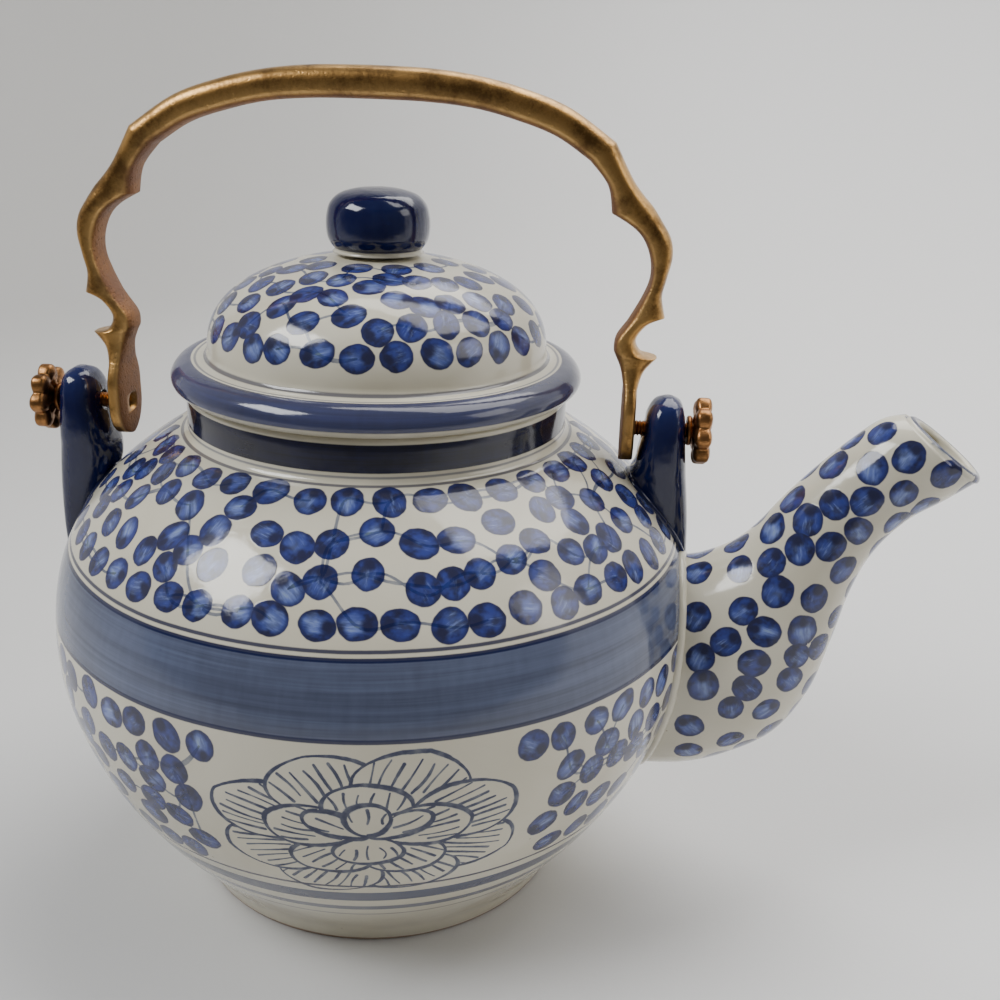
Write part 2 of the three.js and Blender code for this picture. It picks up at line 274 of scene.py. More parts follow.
def loft(
    name: str, rings: np.ndarray, middle_x: float, poles: Sequence[np.ndarray] = (), looped: bool = False
) -> bpy.types.Object:
    """Joins rings of equal point count into one closed solid.

    Args:
        name: The piece's name.
        rings: Millimetre points as rings, points and coordinates.
        middle_x: Where x = 0 of the rings lies along X.
        poles: The point that closes the first ring, and the one that closes the last.
        looped: Whether the last ring joins the first, in place of poles.

    Returns:
        The new object.
    """
    rows, columns = rings.shape[:2]
    row = np.arange(rows if looped else rows - 1)[:, None]
    column = np.arange(columns)[None, :]
    beside = (column + 1) % columns
    above = (row + 1) % rows
    corners = [
        row * columns + column, row * columns + beside, above * columns + beside, above * columns + column
    ]
    faces = np.stack(corners, axis=-1).reshape(-1, 4).tolist()
    vertices = rings.reshape(-1, 3)
    if len(poles):
        first, last = len(vertices), len(vertices) + 1
        top = (rows - 1) * columns
        for j in range(columns):
            k = (j + 1) % columns
            faces.append([first, k, j])
            faces.append([last, top + j, top + k])
        vertices = np.vstack([vertices, *[np.reshape(pole, (1, 3)) for pole in poles]])
    return make_piece(name, vertices, faces, middle_x)


def turned(name: str, profile: np.ndarray, azimuths: np.ndarray) -> bpy.types.Object:
    """Turns a closed profile about the pot's axis.

    Args:
        name: The piece's name.
        profile: Radius and height in millimetres, starting and ending on the axis.
        azimuths: The angle of each column of points.

    Returns:
        The new object.
    """
    radius, height = profile[1:-1, 0], profile[1:-1, 1]
    rings = np.empty((len(radius), len(azimuths), 3))
    rings[..., 0] = radius[:, None] * np.cos(azimuths)
    rings[..., 1] = radius[:, None] * np.sin(azimuths)
    rings[..., 2] = height[:, None]
    poles = [np.array([0, 0, profile[end, 1]]) for end in (0, -1)]
    return loft(name, rings, AXIS_X, poles)


def around(count: int) -> np.ndarray:
    """Evenly spaced angles of a full turn.

    Args:
        count: How many angles.

    Returns:
        The angles, without the one that closes the turn.
    """
    return np.linspace(0, 2 * math.pi, count, endpoint=False)


def settle(piece: bpy.types.Object) -> None:
    """Replaces a piece's mesh by what its modifiers make of it, and removes them.

    Args:
        piece: The object to change.
    """
    graph = bpy.context.evaluated_depsgraph_get()
    made = bpy.data.meshes.new_from_object(piece.evaluated_get(graph), depsgraph=graph)
    piece.modifiers.clear()
    piece.data = made
    made.name = piece.name


def carve(piece: bpy.types.Object, cutter: bpy.types.Object) -> None:
    """Cuts one closed piece out of another, and removes the cutter.

    Args:
        piece: The object to cut.
        cutter: What is cut out of it.
    """
    cut = piece.modifiers.new("carve", "BOOLEAN")
    cut.operation = "DIFFERENCE"
    cut.solver = "EXACT"
    cut.object = cutter
    settle(piece)
    bpy.data.objects.remove(cutter)


def round_bar(name: str, radius: float, centre: Sequence[float], length: float) -> bpy.types.Object:
    """A bar along X to drill with.

    Args:
        name: The bar's name.
        radius: Its radius in millimetres.
        centre: Its middle.
        length: How long it is.

    Returns:
        The new object.
    """
    columns = 40
    angles = around(columns)
    ring = np.stack([np.zeros(columns), radius * np.cos(angles), radius * np.sin(angles)], axis=1)
    ends = [np.array(centre, float) + (side * length / 2, 0, 0) for side in (-1, 1)]
    return loft(name, np.stack([ring + end for end in ends]), 0.0, ends)


def finish_piece(
    piece: bpy.types.Object, material: bpy.types.Material, body: str, replaced: Sequence[str] = ()
) -> bpy.types.Object:
    """Dresses a piece, seats it on its body and hides the CAD nodes that it is shown in place of.

    Args:
        piece: The finished object.
        material: Its material.
        body: The CAD body that it moves with.
        replaced: The CAD nodes that it is shown in place of.

    Returns:
        The same object.
    """
    piece.data.materials.clear()
    piece.data.materials.append(material)
    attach(piece, body)
    if replaced:
        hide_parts(*replaced)
    LOG.info("%s: %d faces on %s", piece.name, len(piece.data.polygons), body)
    return piece


# ---------------------------------------------------------------- node trees


class Wiring:
    """Adds nodes to one tree. Its helpers take numbers or sockets and hand back a socket."""

    def __init__(self, tree: bpy.types.NodeTree) -> None:
        self.tree = tree
        self.column = 0

    def node(self, kind: str, **settings: object) -> bpy.types.Node:
        """Adds a node of a kind, with its settings, to the right of the last one."""
        made = self.tree.nodes.new(kind)
        made.location = (190.0 * self.column, -60.0 * (self.column % 4))
        self.column += 1
        for key, value in settings.items():
            setattr(made, key, value)
        return made

    def feed(self, socket: Socket, value: object) -> None:
        """Links a socket to another one, or sets it to a plain value."""
        if isinstance(value, Socket):
            self.tree.links.new(value, socket)
        else:
            socket.default_value = value

    def fed(self, kind: str, values: dict[str, object], **settings: object) -> bpy.types.Node:
        """Adds a node and feeds its inputs by name."""
        made = self.node(kind, **settings)
        for key, value in values.items():
            self.feed(made.inputs[key], value)
        return made

    def math(self, operation: str, first: object, second: object = 0.0, third: object = 0.0) -> Socket:
        """One arithmetic step."""
        made = self.node("ShaderNodeMath", operation=operation)
        for socket, value in zip(made.inputs, (first, second, third)):
            self.feed(socket, value)
        return made.outputs[0]

    def hypotenuse(self, first: Socket, second: Socket) -> Socket:
        """The root of the sum of two squares.

        Args:
            first: One of the values.
            second: The other one.

        Returns:
            The distance that they make at right angles to each other.
        """
        squares = [self.math("MULTIPLY", side, side) for side in (first, second)]
        return self.math("SQRT", self.math("ADD", *squares))

    def vector(self, operation: str, first: object, second: object = (0.0, 0.0, 0.0)) -> Socket:
        """One step of vector arithmetic."""
        made = self.node("ShaderNodeVectorMath", operation=operation)
        self.feed(made.inputs[0], first)
        self.feed(made.inputs[1], second)
        return made.outputs["Value" if operation in ("LENGTH", "DISTANCE") else "Vector"]

    def split(self, vector: Socket) -> tuple[Socket, Socket, Socket]:
        """The three coordinates of a vector."""
        made = self.node("ShaderNodeSeparateXYZ")
        self.feed(made.inputs[0], vector)
        return tuple(made.outputs)

    def join(self, x: object, y: object, z: object) -> Socket:
        """A vector from three coordinates."""
        made = self.node("ShaderNodeCombineXYZ")
        for socket, value in zip(made.inputs, (x, y, z)):
            self.feed(socket, value)
        return made.outputs[0]

    def smooth(self, value: object, low: object, high: object) -> Socket:
        """Rises softly from 0 at low to 1 at high."""
        values = {"Value": value, "From Min": low, "From Max": high}
        return self.fed("ShaderNodeMapRange", values, interpolation_type="SMOOTHSTEP").outputs[0]

    def spread(self, value: object, low: float, high: float) -> Socket:
        """Turns 0 to 1 into low to high."""
        return self.fed("ShaderNodeMapRange", {"Value": value, "To Min": low, "To Max": high}).outputs[0]

    def mix(self, amount: object, first: object, second: object, blend: str = "MIX") -> Socket:
        """Lays the second colour over the first."""
        made = self.node("ShaderNodeMix", data_type="RGBA", blend_type=blend)
        for socket, value in ((made.inputs[0], amount), (made.inputs[6], first), (made.inputs[7], second)):
            self.feed(socket, value.value if isinstance(value, Tint) else value)
        return made.outputs[2]

    def noise(self, vector: Socket, scale: float, detail: float = 2.0, roughness: float = 0.5) -> Socket:
        """Soft noise with about 1 / scale between its lumps."""
        values = {"Vector": vector, "Scale": scale, "Detail": detail, "Roughness": roughness}
        return self.fed("ShaderNodeTexNoise", values).outputs[0]

    def use(self, tree: bpy.types.NodeTree, values: dict[str, object]) -> bpy.types.Node:
        """Places a shader node group with its own values."""
        made = self.node("ShaderNodeGroup", node_tree=tree)
        for key, value in values.items():
            self.feed(made.inputs[key], value.value if isinstance(value, Tint) else value)
        return made

    def give(self, outlet: bpy.types.Node, values: dict[str, Socket]) -> None:
        """Feeds a group's outputs by name."""
        for key, value in values.items():
            self.feed(outlet.inputs[key], value)


def new_group(
    kind: str, name: str, inputs: dict[str, tuple[str, object]], outputs: dict[str, str]
) -> tuple[bpy.types.NodeTree, Wiring, bpy.types.Node, bpy.types.Node]:
    """Starts a node group with named sockets.

    Args:
        kind: ShaderNodeTree or GeometryNodeTree.
        name: The group's name.
        inputs: Each input's name, with its socket kind and default value or None.
        outputs: Each output's name, with its socket kind.

    Returns:
        The tree, its wiring, its input node and its output node.
    """
    tree = bpy.data.node_groups.new(name, kind)
    for label, (socket, value) in inputs.items():
        made = tree.interface.new_socket(label, in_out="INPUT", socket_type=f"NodeSocket{socket}")
        if value is not None:
            made.default_value = value
    for label, socket in outputs.items():
        tree.interface.new_socket(label, in_out="OUTPUT", socket_type=f"NodeSocket{socket}")
    wiring = Wiring(tree)
    return tree, wiring, wiring.node("NodeGroupInput"), wiring.node("NodeGroupOutput")


class PaintBox:
    """The shader groups that the finishes share. Coordinates are millimetres from the pot's foot."""

    def __init__(self) -> None:
        self.ground = self._ground()
        self.berry = self._berry()
        self.line = self._line()
        self.band = self._band()
        self.wash = self._wash()
        self.patina = self._patina()

    @staticmethod
    def _ground() -> bpy.types.NodeTree:
        """Cream glaze that pools and thins a little, with a few iron specks."""
        tree, w, inlet, outlet = new_group(
            "ShaderNodeTree",
            "cream_ground",
            {
                "Place": ("Vector", None),
                "Thick": ("Color", Tint.CREAM.value),
                "Thin": ("Color", Tint.CREAM_SHADE.value),
                "Speck": ("Color", Tint.IRON.value),
            },
            {"Color": "Color", "Height": "Float", "Roughness": "Float"},
        )
        place = inlet.outputs["Place"]
        cloud = w.smooth(w.noise(place, 0.035, 3.0), 0.35, 0.75)
        colour = w.mix(w.math("MULTIPLY", cloud, 0.55), inlet.outputs["Thick"], inlet.outputs["Thin"])
        grit = w.fed("ShaderNodeTexVoronoi", {"Vector": place, "Scale": 0.16, "Randomness": 1.0})
        speck = w.math("SUBTRACT", 1.0, w.smooth(grit.outputs["Distance"], 0.03, 0.055))
        chosen = w.smooth(w.split(grit.outputs["Color"])[0], 0.72, 0.78)
        colour = w.mix(
            w.math("MULTIPLY", w.math("MULTIPLY", speck, chosen), 0.5), colour, inlet.outputs["Speck"]
        )
        ripple = w.noise(place, 0.09, 2.0)
        skin = w.noise(place, 0.9, 2.0)
        height = w.math("ADD", w.math("MULTIPLY", ripple, 0.8), w.math("MULTIPLY", skin, 0.06))
        w.give(outlet, {"Color": colour, "Height": height, "Roughness": w.spread(skin, 0.07, 0.17)})
        return tree

    @staticmethod
    def _berry() -> bpy.types.NodeTree:
        """One brushed berry, from its own coordinates: -1 to 1 across it, and its tone as the third."""
        tree, w, inlet, outlet = new_group(
            "ShaderNodeTree",
            "berry_dab",
            {
                "Dab": ("Vector", None),
                "Deep": ("Color", Tint.NAVY.value),
                "Body": ("Color", Tint.COBALT.value),
                "Pale": ("Color", Tint.PALE_BLUE.value),
            },
            {"Color": "Color", "Mask": "Float"},
        )
        x, y, tone = w.split(inlet.outputs["Dab"])
        seed = w.math("MULTIPLY", tone, 61.0)
        flat = w.join(x, y, seed)
        wobble = w.math("SUBTRACT", w.noise(flat, 1.1, 2.0), 0.5)
        radius = w.hypotenuse(x, y)
        rough = w.math("MULTIPLY_ADD", wobble, 0.24, radius)
        mask = w.math("SUBTRACT", 1.0, w.smooth(rough, 0.92, 1.0))
        hairs = w.noise(w.join(w.math("MULTIPLY", x, 0.8), w.math("MULTIPLY", y, 3.4), seed), 1.3, 3.0, 0.6)
        pools = w.noise(flat, 1.7, 2.0)
        worn_x = w.math("SUBTRACT", x, 0.18)
        worn_y = w.math("MULTIPLY", w.math("ADD", y, w.math("MULTIPLY", wobble, 1.2)), 1.25)
        worn = w.hypotenuse(worn_x, worn_y)
        patch = w.math("SUBTRACT", 1.0, w.smooth(worn, 0.08, 0.88))
        streak = w.smooth(hairs, w.math("MULTIPLY_ADD", tone, -0.22, 0.52), 0.80)
        light = w.math(
            "MULTIPLY",
            patch,
            w.math("ADD", w.math("MULTIPLY", streak, 0.60), w.math("MULTIPLY", tone, 0.42)),
        )
        colour = w.mix(w.smooth(pools, 0.30, 0.66), inlet.outputs["Deep"], inlet.outputs["Body"])
        colour = w.mix(light, colour, inlet.outputs["Pale"])
        rim = w.math("MULTIPLY", w.smooth(rough, 0.66, 0.92), 0.62)
        colour = w.mix(rim, colour, inlet.outputs["Deep"])
        seed_x = w.math("ADD", x, 0.52)
        seed_y = w.math("MULTIPLY_ADD", wobble, 0.8, y)
        from_seed = w.hypotenuse(seed_x, seed_y)
        dot = w.math("SUBTRACT", 1.0, w.smooth(from_seed, 0.16, 0.50))
        colour = w.mix(w.math("MULTIPLY", dot, 0.96), colour, inlet.outputs["Deep"])
        w.give(outlet, {"Color": colour, "Mask": mask})
        return tree

    @staticmethod
    def _line() -> bpy.types.NodeTree:
        """A brush line from its own coordinates: -1 to 1 across it, past its end, and its strength."""
        tree, w, inlet, outlet = new_group(
            "ShaderNodeTree",
            "brush_line",
            {"Line": ("Vector", None), "Place": ("Vector", None)},
            {"Mask": "Float"},
        )
        across, beyond, strength = w.split(inlet.outputs["Line"])
        reach = w.hypotenuse(across, beyond)
        ragged = w.math("MULTIPLY_ADD", w.noise(inlet.outputs["Place"], 0.8, 2.0), 0.5, reach)
        inside = w.math("SUBTRACT", 1.0, w.smooth(ragged, 0.95, 1.45))
        ink = w.spread(w.noise(inlet.outputs["Place"], 0.35, 2.0), 0.65, 1.15)
        w.give(outlet, {"Mask": w.math("MULTIPLY", w.math("MULTIPLY", inside, strength), ink)})
        return tree

    @staticmethod
    def _band() -> bpy.types.NodeTree:
        """A band turned on the wheel, between two values of a radius or a height."""
        tree, w, inlet, outlet = new_group(
            "ShaderNodeTree",
            "wheel_band",
            {
                "Reading": ("Float", 0.0),
                "Place": ("Vector", None),
                "Low": ("Float", 0.0),
                "High": ("Float", 1.0),
                "Wobble": ("Float", 0.3),
            },
            {"Mask": "Float"},
        )
        drift = w.math("SUBTRACT", w.noise(inlet.outputs["Place"], 0.03, 2.0), 0.5)
        ragged = w.math("SUBTRACT", w.noise(inlet.outputs["Place"], 0.8, 2.0), 0.5)
        shift = w.math("MULTIPLY_ADD", drift, 4.0, w.math("MULTIPLY", ragged, 0.5))
        reading = w.math("MULTIPLY_ADD", shift, inlet.outputs["Wobble"], inlet.outputs["Reading"])
        low, high = inlet.outputs["Low"], inlet.outputs["High"]
        over = w.smooth(reading, w.math("SUBTRACT", low, 0.14), w.math("ADD", low, 0.14))
        under = w.math(
            "SUBTRACT", 1.0, w.smooth(reading, w.math("SUBTRACT", high, 0.14), w.math("ADD", high, 0.14))
        )
        w.give(outlet, {"Mask": w.math("MULTIPLY", over, under)})
        return tree

    @staticmethod
    def _wash() -> bpy.types.NodeTree:
        """A thin wash laid on the wheel: long streaks round the pot, and faint strokes across them."""
        tree, w, inlet, outlet = new_group(
            "ShaderNodeTree",
            "brushed_wash",
            {
                "Place": ("Vector", None),
                "Dark": ("Color", Tint.WASH_DARK.value),
                "Light": ("Color", Tint.WASH_LIGHT.value),
            },
            {"Color": "Color"},
        )
        place = inlet.outputs["Place"]
        long = w.noise(w.vector("MULTIPLY", place, (0.012, 0.012, 0.55)), 1.0, 4.0, 0.62)
        fine = w.noise(w.vector("MULTIPLY", place, (0.02, 0.02, 2.4)), 1.0, 2.0, 0.5)
        cross = w.noise(w.vector("MULTIPLY", place, (0.5, 0.5, 0.06)), 1.0, 2.0, 0.5)
        cloud = w.noise(place, 0.03, 2.0)
        level = w.math("ADD", w.math("MULTIPLY", long, 0.62), w.math("MULTIPLY", fine, 0.20))
        level = w.math("ADD", level, w.math("MULTIPLY", cross, 0.14))
        level = w.math("ADD", level, w.math("MULTIPLY", cloud, 0.34))
        colour = w.mix(w.smooth(level, 0.44, 0.88), inlet.outputs["Dark"], inlet.outputs["Light"])
        w.give(outlet, {"Color": colour})
        return tree

    @staticmethod
    def _patina() -> bpy.types.NodeTree:
        """Cast brass that has aged: browned hollows, edges worn bright with a painted sheen, and a sandy
        skin.
        """
        tree, w, inlet, outlet = new_group(
            "ShaderNodeTree",
            "brass_patina",
            {
                "Place": ("Vector", None),
                "Rubbed And Sheen": ("Float", 0.5),
                "Rough Side": ("Float", 0.0),
                "Metal": ("Color", Tint.BRASS.value),
                "Bright": ("Color", Tint.BRASS_BRIGHT.value),
                "Brown": ("Color", Tint.BRASS_BROWN.value),
                "Red": ("Color", Tint.BRASS_RED.value),
            },
            {"Color": "Color", "Roughness": "Float", "Height": "Float", "Metallic": "Float"},
        )
        place, rubbed_and_sheen, rough_side = (inlet.outputs[key] for key in ("Place", "Rubbed And Sheen", "Rough Side"))
        cloud = w.noise(place, 0.12, 4.0, 0.6)
        grain = w.noise(place, 1.4, 3.0, 0.6)
        pits = w.fed(
            "ShaderNodeTexVoronoi", {"Vector": place, "Scale": 0.9, "Randomness": 1.0}
        ).outputs["Distance"]
        pit = w.math("SUBTRACT", 1.0, w.smooth(pits, 0.08, 0.30))
        brown = w.smooth(w.math("ADD", cloud, w.math("MULTIPLY", grain, 0.35)), 0.56, 0.86)
        colour = w.mix(w.math("MULTIPLY", brown, 0.78), inlet.outputs["Metal"], inlet.outputs["Brown"])
        colour = w.mix(w.math("MULTIPLY", rough_side, 0.72), colour, inlet.outputs["Red"])
        colour = w.mix(
            w.math("MULTIPLY", pit, w.spread(rough_side, 0.10, 0.6)), colour, inlet.outputs["Brown"]
        )
        # The metal is painted brighter where the input asks: partly real rubbing, partly a painted sheen.
        shine = w.math("MULTIPLY", rubbed_and_sheen, w.smooth(w.math("SUBTRACT", 1.15, cloud), 0.35, 0.75))
        colour = w.mix(w.math("MULTIPLY", shine, 0.75), colour, inlet.outputs["Bright"])
        rough = w.math("ADD", w.spread(grain, 0.26, 0.50), w.math("MULTIPLY", rough_side, 0.20))
        rough = w.math("SUBTRACT", rough, w.math("MULTIPLY", shine, 0.08))
        height = w.math(
            "SUBTRACT",
            w.math("MULTIPLY", grain, w.spread(rough_side, 0.22, 1.0)),
            w.math("MULTIPLY", pit, w.spread(rough_side, 0.10, 0.4)),
        )
        metallic = w.math("SUBTRACT", 1.0, w.math("MULTIPLY", w.math("MULTIPLY", brown, rough_side), 0.5))
        w.give(outlet, {"Color": colour, "Roughness": rough, "Height": height, "Metallic": metallic})
        return tree


def new_material(name: str) -> tuple[bpy.types.Material, Wiring, bpy.types.Node]:
    """Starts a material, with its wiring and its Principled shader.

    Args:
        name: The material's name.

    Returns:
        The material, its wiring and its shader.
    """
    material = bpy.data.materials.new(name)
    material.use_nodes = True
    shader = next(node for node in material.node_tree.nodes if node.type == "BSDF_PRINCIPLED")
    return material, Wiring(material.node_tree), shader


def place_in_mm(w: Wiring, middle_x: float) -> Socket:
    """Object coordinates in millimetres, with x measured from a middle.

    Args:
        w: The wiring to add to.
        middle_x: Where x is measured from.

    Returns:
        The coordinates.
    """
    coordinates = w.node("ShaderNodeTexCoord").outputs["Object"]
    values = {"Vector": coordinates, "Location": (-middle_x, 0, 0), "Scale": (1 / MM, 1 / MM, 1 / MM)}
    return w.fed("ShaderNodeMapping", values).outputs[0]


def reading(w: Wiring, name: str) -> bpy.types.Node:
    """Reads one of the mesh's own attributes.

    Args:
        w: The wiring to add to.
        name: The attribute.

    Returns:
        The node that reads it.
    """
    return w.node("ShaderNodeAttribute", attribute_name=name)


def bump(w: Wiring, shader: bpy.types.Node, height: Socket, depth: float) -> None:
    """Raises the surface by a height from 0 to 1, where 1 is depth in millimetres.

    Args:
        w: The wiring to add to.
        shader: The shader whose normal is bent.
        height: From 0 to 1.
        depth: How high 1 stands.
    """
    values = {"Height": height, "Distance": depth * MM, "Strength": 1.0}
    w.feed(shader.inputs["Normal"], w.fed("ShaderNodeBump", values).outputs[0])


class Measure(Enum):
    """What a wheel band is measured by."""

    HEIGHT = "height"
    RADIUS = "radius"


@dataclass(frozen=True)
class Band:
    """A band or a line that was turned on the wheel."""

    measure: Measure
    low: float
    high: float
    tint: Tint
    strength: float = 0.9
    wobble: float = 0.12
    washed: Tint | None = None
    above: float = -1.0


@dataclass(frozen=True)
class PaintedGlaze:
    """Clear gloss over cream, with berries, brush lines and wheel bands painted beneath it."""

    name: str
    bands: tuple[Band, ...] = ()
    brushed: bool = True

    def _brushwork(self, w: Wiring, box: PaintBox, place: Socket, colour: Socket) -> tuple[Socket, Socket]:
        """Lays the lines and the berries over a colour, and tells where the berries are."""
        lines = []
        for attribute in ("line_near", "line_next"):
            own = reading(w, attribute).outputs["Vector"]
            lines.append(w.use(box.line, {"Line": own, "Place": place}).outputs[0])
        drawn = w.math("MAXIMUM", lines[0], lines[1])
        colour = w.mix(drawn, colour, Tint.STEM)
        layers = []
        masks = []
        for attribute in ("dab_near", "dab_next"):
            dab = w.use(box.berry, {"Dab": reading(w, attribute).outputs["Vector"]})
            layers.append(w.mix(w.math("MULTIPLY", dab.outputs["Mask"], 0.97), colour, dab.outputs["Color"]))
            masks.append(dab.outputs["Mask"])
        colour = w.mix(1.0, layers[0], layers[1], "DARKEN")
        painted = w.math("MAXIMUM", masks[0], masks[1])
        colour = w.mix(w.math("MULTIPLY", drawn, w.math("MULTIPLY", painted, 0.30)), colour, Tint.INK)
        firm = w.smooth(drawn, 0.62, 0.95)
        return w.mix(w.math("MULTIPLY", firm, 0.92), colour, Tint.INK), painted

    def material(self, box: PaintBox) -> bpy.types.Material:
        """Builds the material from the shared groups."""
        material, w, shader = new_material(self.name)
        place = place_in_mm(w, AXIS_X)
        x, y, height = w.split(place)
        radius = w.hypotenuse(x, y)
        ground = w.use(box.ground, {"Place": place})
        colour, raised = ground.outputs["Color"], ground.outputs["Height"]
        if self.brushed:
            colour, painted = self._brushwork(w, box, place, colour)
            raised = w.math("MULTIPLY_ADD", painted, 0.05, raised)
        for band in self.bands:
            measured = height if band.measure is Measure.HEIGHT else radius
            values = {
                "Reading": measured,
                "Place": place,
                "Low": band.low,
                "High": band.high,
                "Wobble": band.wobble,
            }
            mask = w.use(box.band, values).outputs[0]
            if band.above > 0:
                mask = w.math("MULTIPLY", mask, w.smooth(height, band.above, band.above + 0.4))
            tint: object = band.tint
            if band.washed:
                tint = w.use(box.wash, {"Place": place, "Dark": band.tint, "Light": band.washed}).outputs[0]
            colour = w.mix(w.math("MULTIPLY", mask, band.strength), colour, tint)
        w.feed(shader.inputs["Base Color"], colour)
        bare = w.math("SUBTRACT", 1.0, w.smooth(height, 0.7, 1.5))
        w.feed(shader.inputs["Roughness"], w.math("MULTIPLY_ADD", bare, 0.6, ground.outputs["Roughness"]))
        shader.inputs["IOR"].default_value = 1.47
        shader.inputs["Coat Weight"].default_value = 0.12
        shader.inputs["Coat Roughness"].default_value = 0.03
        bump(w, shader, raised, 0.28)
        return material


@dataclass(frozen=True)
class NavyGlaze:
    """Thick navy glaze that breaks to a lighter blue where it runs thin."""

    name: str
    middle_x: float
    thin_low: float
    thin_high: float
    collar_top: float = -1.0

    def material(self, box: PaintBox) -> bpy.types.Material:
        """Builds the material from the shared groups."""
        material, w, shader = new_material(self.name)
        place = place_in_mm(w, self.middle_x)
        height = w.split(place)[2]
        cloud = w.noise(place, 0.10, 3.0)
        runs = w.noise(w.vector("MULTIPLY", place, (0.45, 0.45, 0.09)), 1.0, 3.0)
        colour = w.mix(
            w.smooth(w.math("ADD", cloud, w.math("MULTIPLY", runs, 0.5)), 0.55, 1.05),
            Tint.NAVY,
            Tint.RIM_DARK,
        )
        thin = w.smooth(
            w.math("MULTIPLY_ADD", cloud, 5.0, height), self.thin_low + 2.5, self.thin_high + 2.5
        )
        broken = w.math("MULTIPLY", thin, w.spread(runs, 0.15, 0.75))
        colour = w.mix(broken, colour, Tint.RIM_LIGHT)
        if self.collar_top > 0:
            ground = w.use(box.ground, {"Place": place})
            collar = w.math(
                "SUBTRACT", 1.0, w.smooth(height, self.collar_top - 0.15, self.collar_top + 0.25)
            )
            colour = w.mix(collar, colour, ground.outputs["Color"])
        w.feed(shader.inputs["Base Color"], colour)
        w.feed(shader.inputs["Roughness"], w.spread(runs, 0.06, 0.16))
        shader.inputs["IOR"].default_value = 1.47
        shader.inputs["Coat Weight"].default_value = 0.12
        shader.inputs["Coat Roughness"].default_value = 0.03
        bump(w, shader, w.math("ADD", cloud, w.math("MULTIPLY", runs, 0.3)), 0.35)
        return material


@dataclass(frozen=True)
class AgedBrass:
    """Old cast brass, worn bright on its edges, with a sheen painted on the bail's outer face, and browned
    in its hollows.
    """

    name: str
    metal: Tint = Tint.BRASS
    rubbed_all_over: float = 0.0

    def material(self, box: PaintBox) -> bpy.types.Material:
        """Builds the material from the shared groups."""
        material, w, shader = new_material(self.name)
        place = place_in_mm(w, CARRIER_X)
        # The attribute read here holds rubbing on the edges and a painted sheen along the outer face.
        rubbed_and_sheen = w.math("ADD", reading(w, "rubbed_and_sheen").outputs["Fac"], self.rubbed_all_over)
        rough_side = reading(w, "rough_side").outputs["Fac"]
        values = {"Place": place, "Rubbed And Sheen": rubbed_and_sheen, "Rough Side": rough_side, "Metal": self.metal}
        aged = w.use(box.patina, values)
        w.feed(shader.inputs["Base Color"], aged.outputs["Color"])
        w.feed(shader.inputs["Roughness"], aged.outputs["Roughness"])
        w.feed(shader.inputs["Metallic"], aged.outputs["Metallic"])
        bump(w, shader, aged.outputs["Height"], 0.22)
        return material


@dataclass(frozen=True)
class SheetFinish:
    """The pale sheet that the pot stands on, with painted shade to the left and a painted shadow well in
    front.
    """

    name: str = "pale_sheet"

    def material(self) -> bpy.types.Material:
        """Builds the material."""
        material, w, shader = new_material(self.name)
        place = w.node("ShaderNodeTexCoord").outputs["Object"]
        cloud = w.noise(place, 2.2, 3.0)
        fibre = w.noise(place, 900.0, 2.0)
        x, y, _ = w.split(place)
        # Painted shade: the sheet's colour darkens towards the left.
        shade = w.math("SUBTRACT", 1.0, w.smooth(w.math("MULTIPLY_ADD", cloud, 0.12, x), -0.38, 0.30))
        colour = w.mix(shade, Tint.SHEET, Tint.SHEET_SHADE)
        # Painted shadow: the sheet's colour turns dark well in front of the pot.
        front = w.math("SUBTRACT", 1.0, w.smooth(y, -0.46, -0.20))
        w.feed(shader.inputs["Base Color"], w.mix(front, colour, Tint.SHEET_PAINTED_SHADOW))
        w.feed(shader.inputs["Roughness"], w.spread(fibre, 0.55, 0.75))
        bump(w, shader, fibre, 0.03)
        return material


# ---------------------------------------------------------------- brushwork


@dataclass(frozen=True)
class TurnedSurface:
    """The outer face of a turned piece, found by azimuth and by distance along its profile."""

    profile: np.ndarray

    @property
    def along(self) -> np.ndarray:
        """The distance of each profile point from the start."""
        return lengths_along(self.profile)

    def radius(self, along: np.ndarray) -> np.ndarray:
        """The radius at a distance along the profile."""
        return np.interp(along, self.along, self.profile[:, 0])

    def along_at_height(self, height: float) -> float:
        """The distance along the profile at which a rising profile passes a height."""
        return float(np.interp(height, self.profile[:, 1], self.along))

    def points(self, azimuth: np.ndarray, along: np.ndarray) -> np.ndarray:
        """Places on the surface, in millimetres from the axis."""
        radius = self.radius(along)
        height = np.interp(along, self.along, self.profile[:, 1])
        return np.stack([radius * np.cos(azimuth), radius * np.sin(azimuth), height], axis=-1)

    def frames(self, azimuth: np.ndarray, along: np.ndarray) -> tuple[np.ndarray, np.ndarray, np.ndarray]:
        """The direction round the pot, the direction along the profile and the outward normal."""
        step = 0.4
        up = unit(self.points(azimuth, along + step) - self.points(azimuth, along - step))
        side = np.stack([-np.sin(azimuth), np.cos(azimuth), np.zeros_like(azimuth)], axis=-1)
        return side, up, unit(np.cross(side, up))


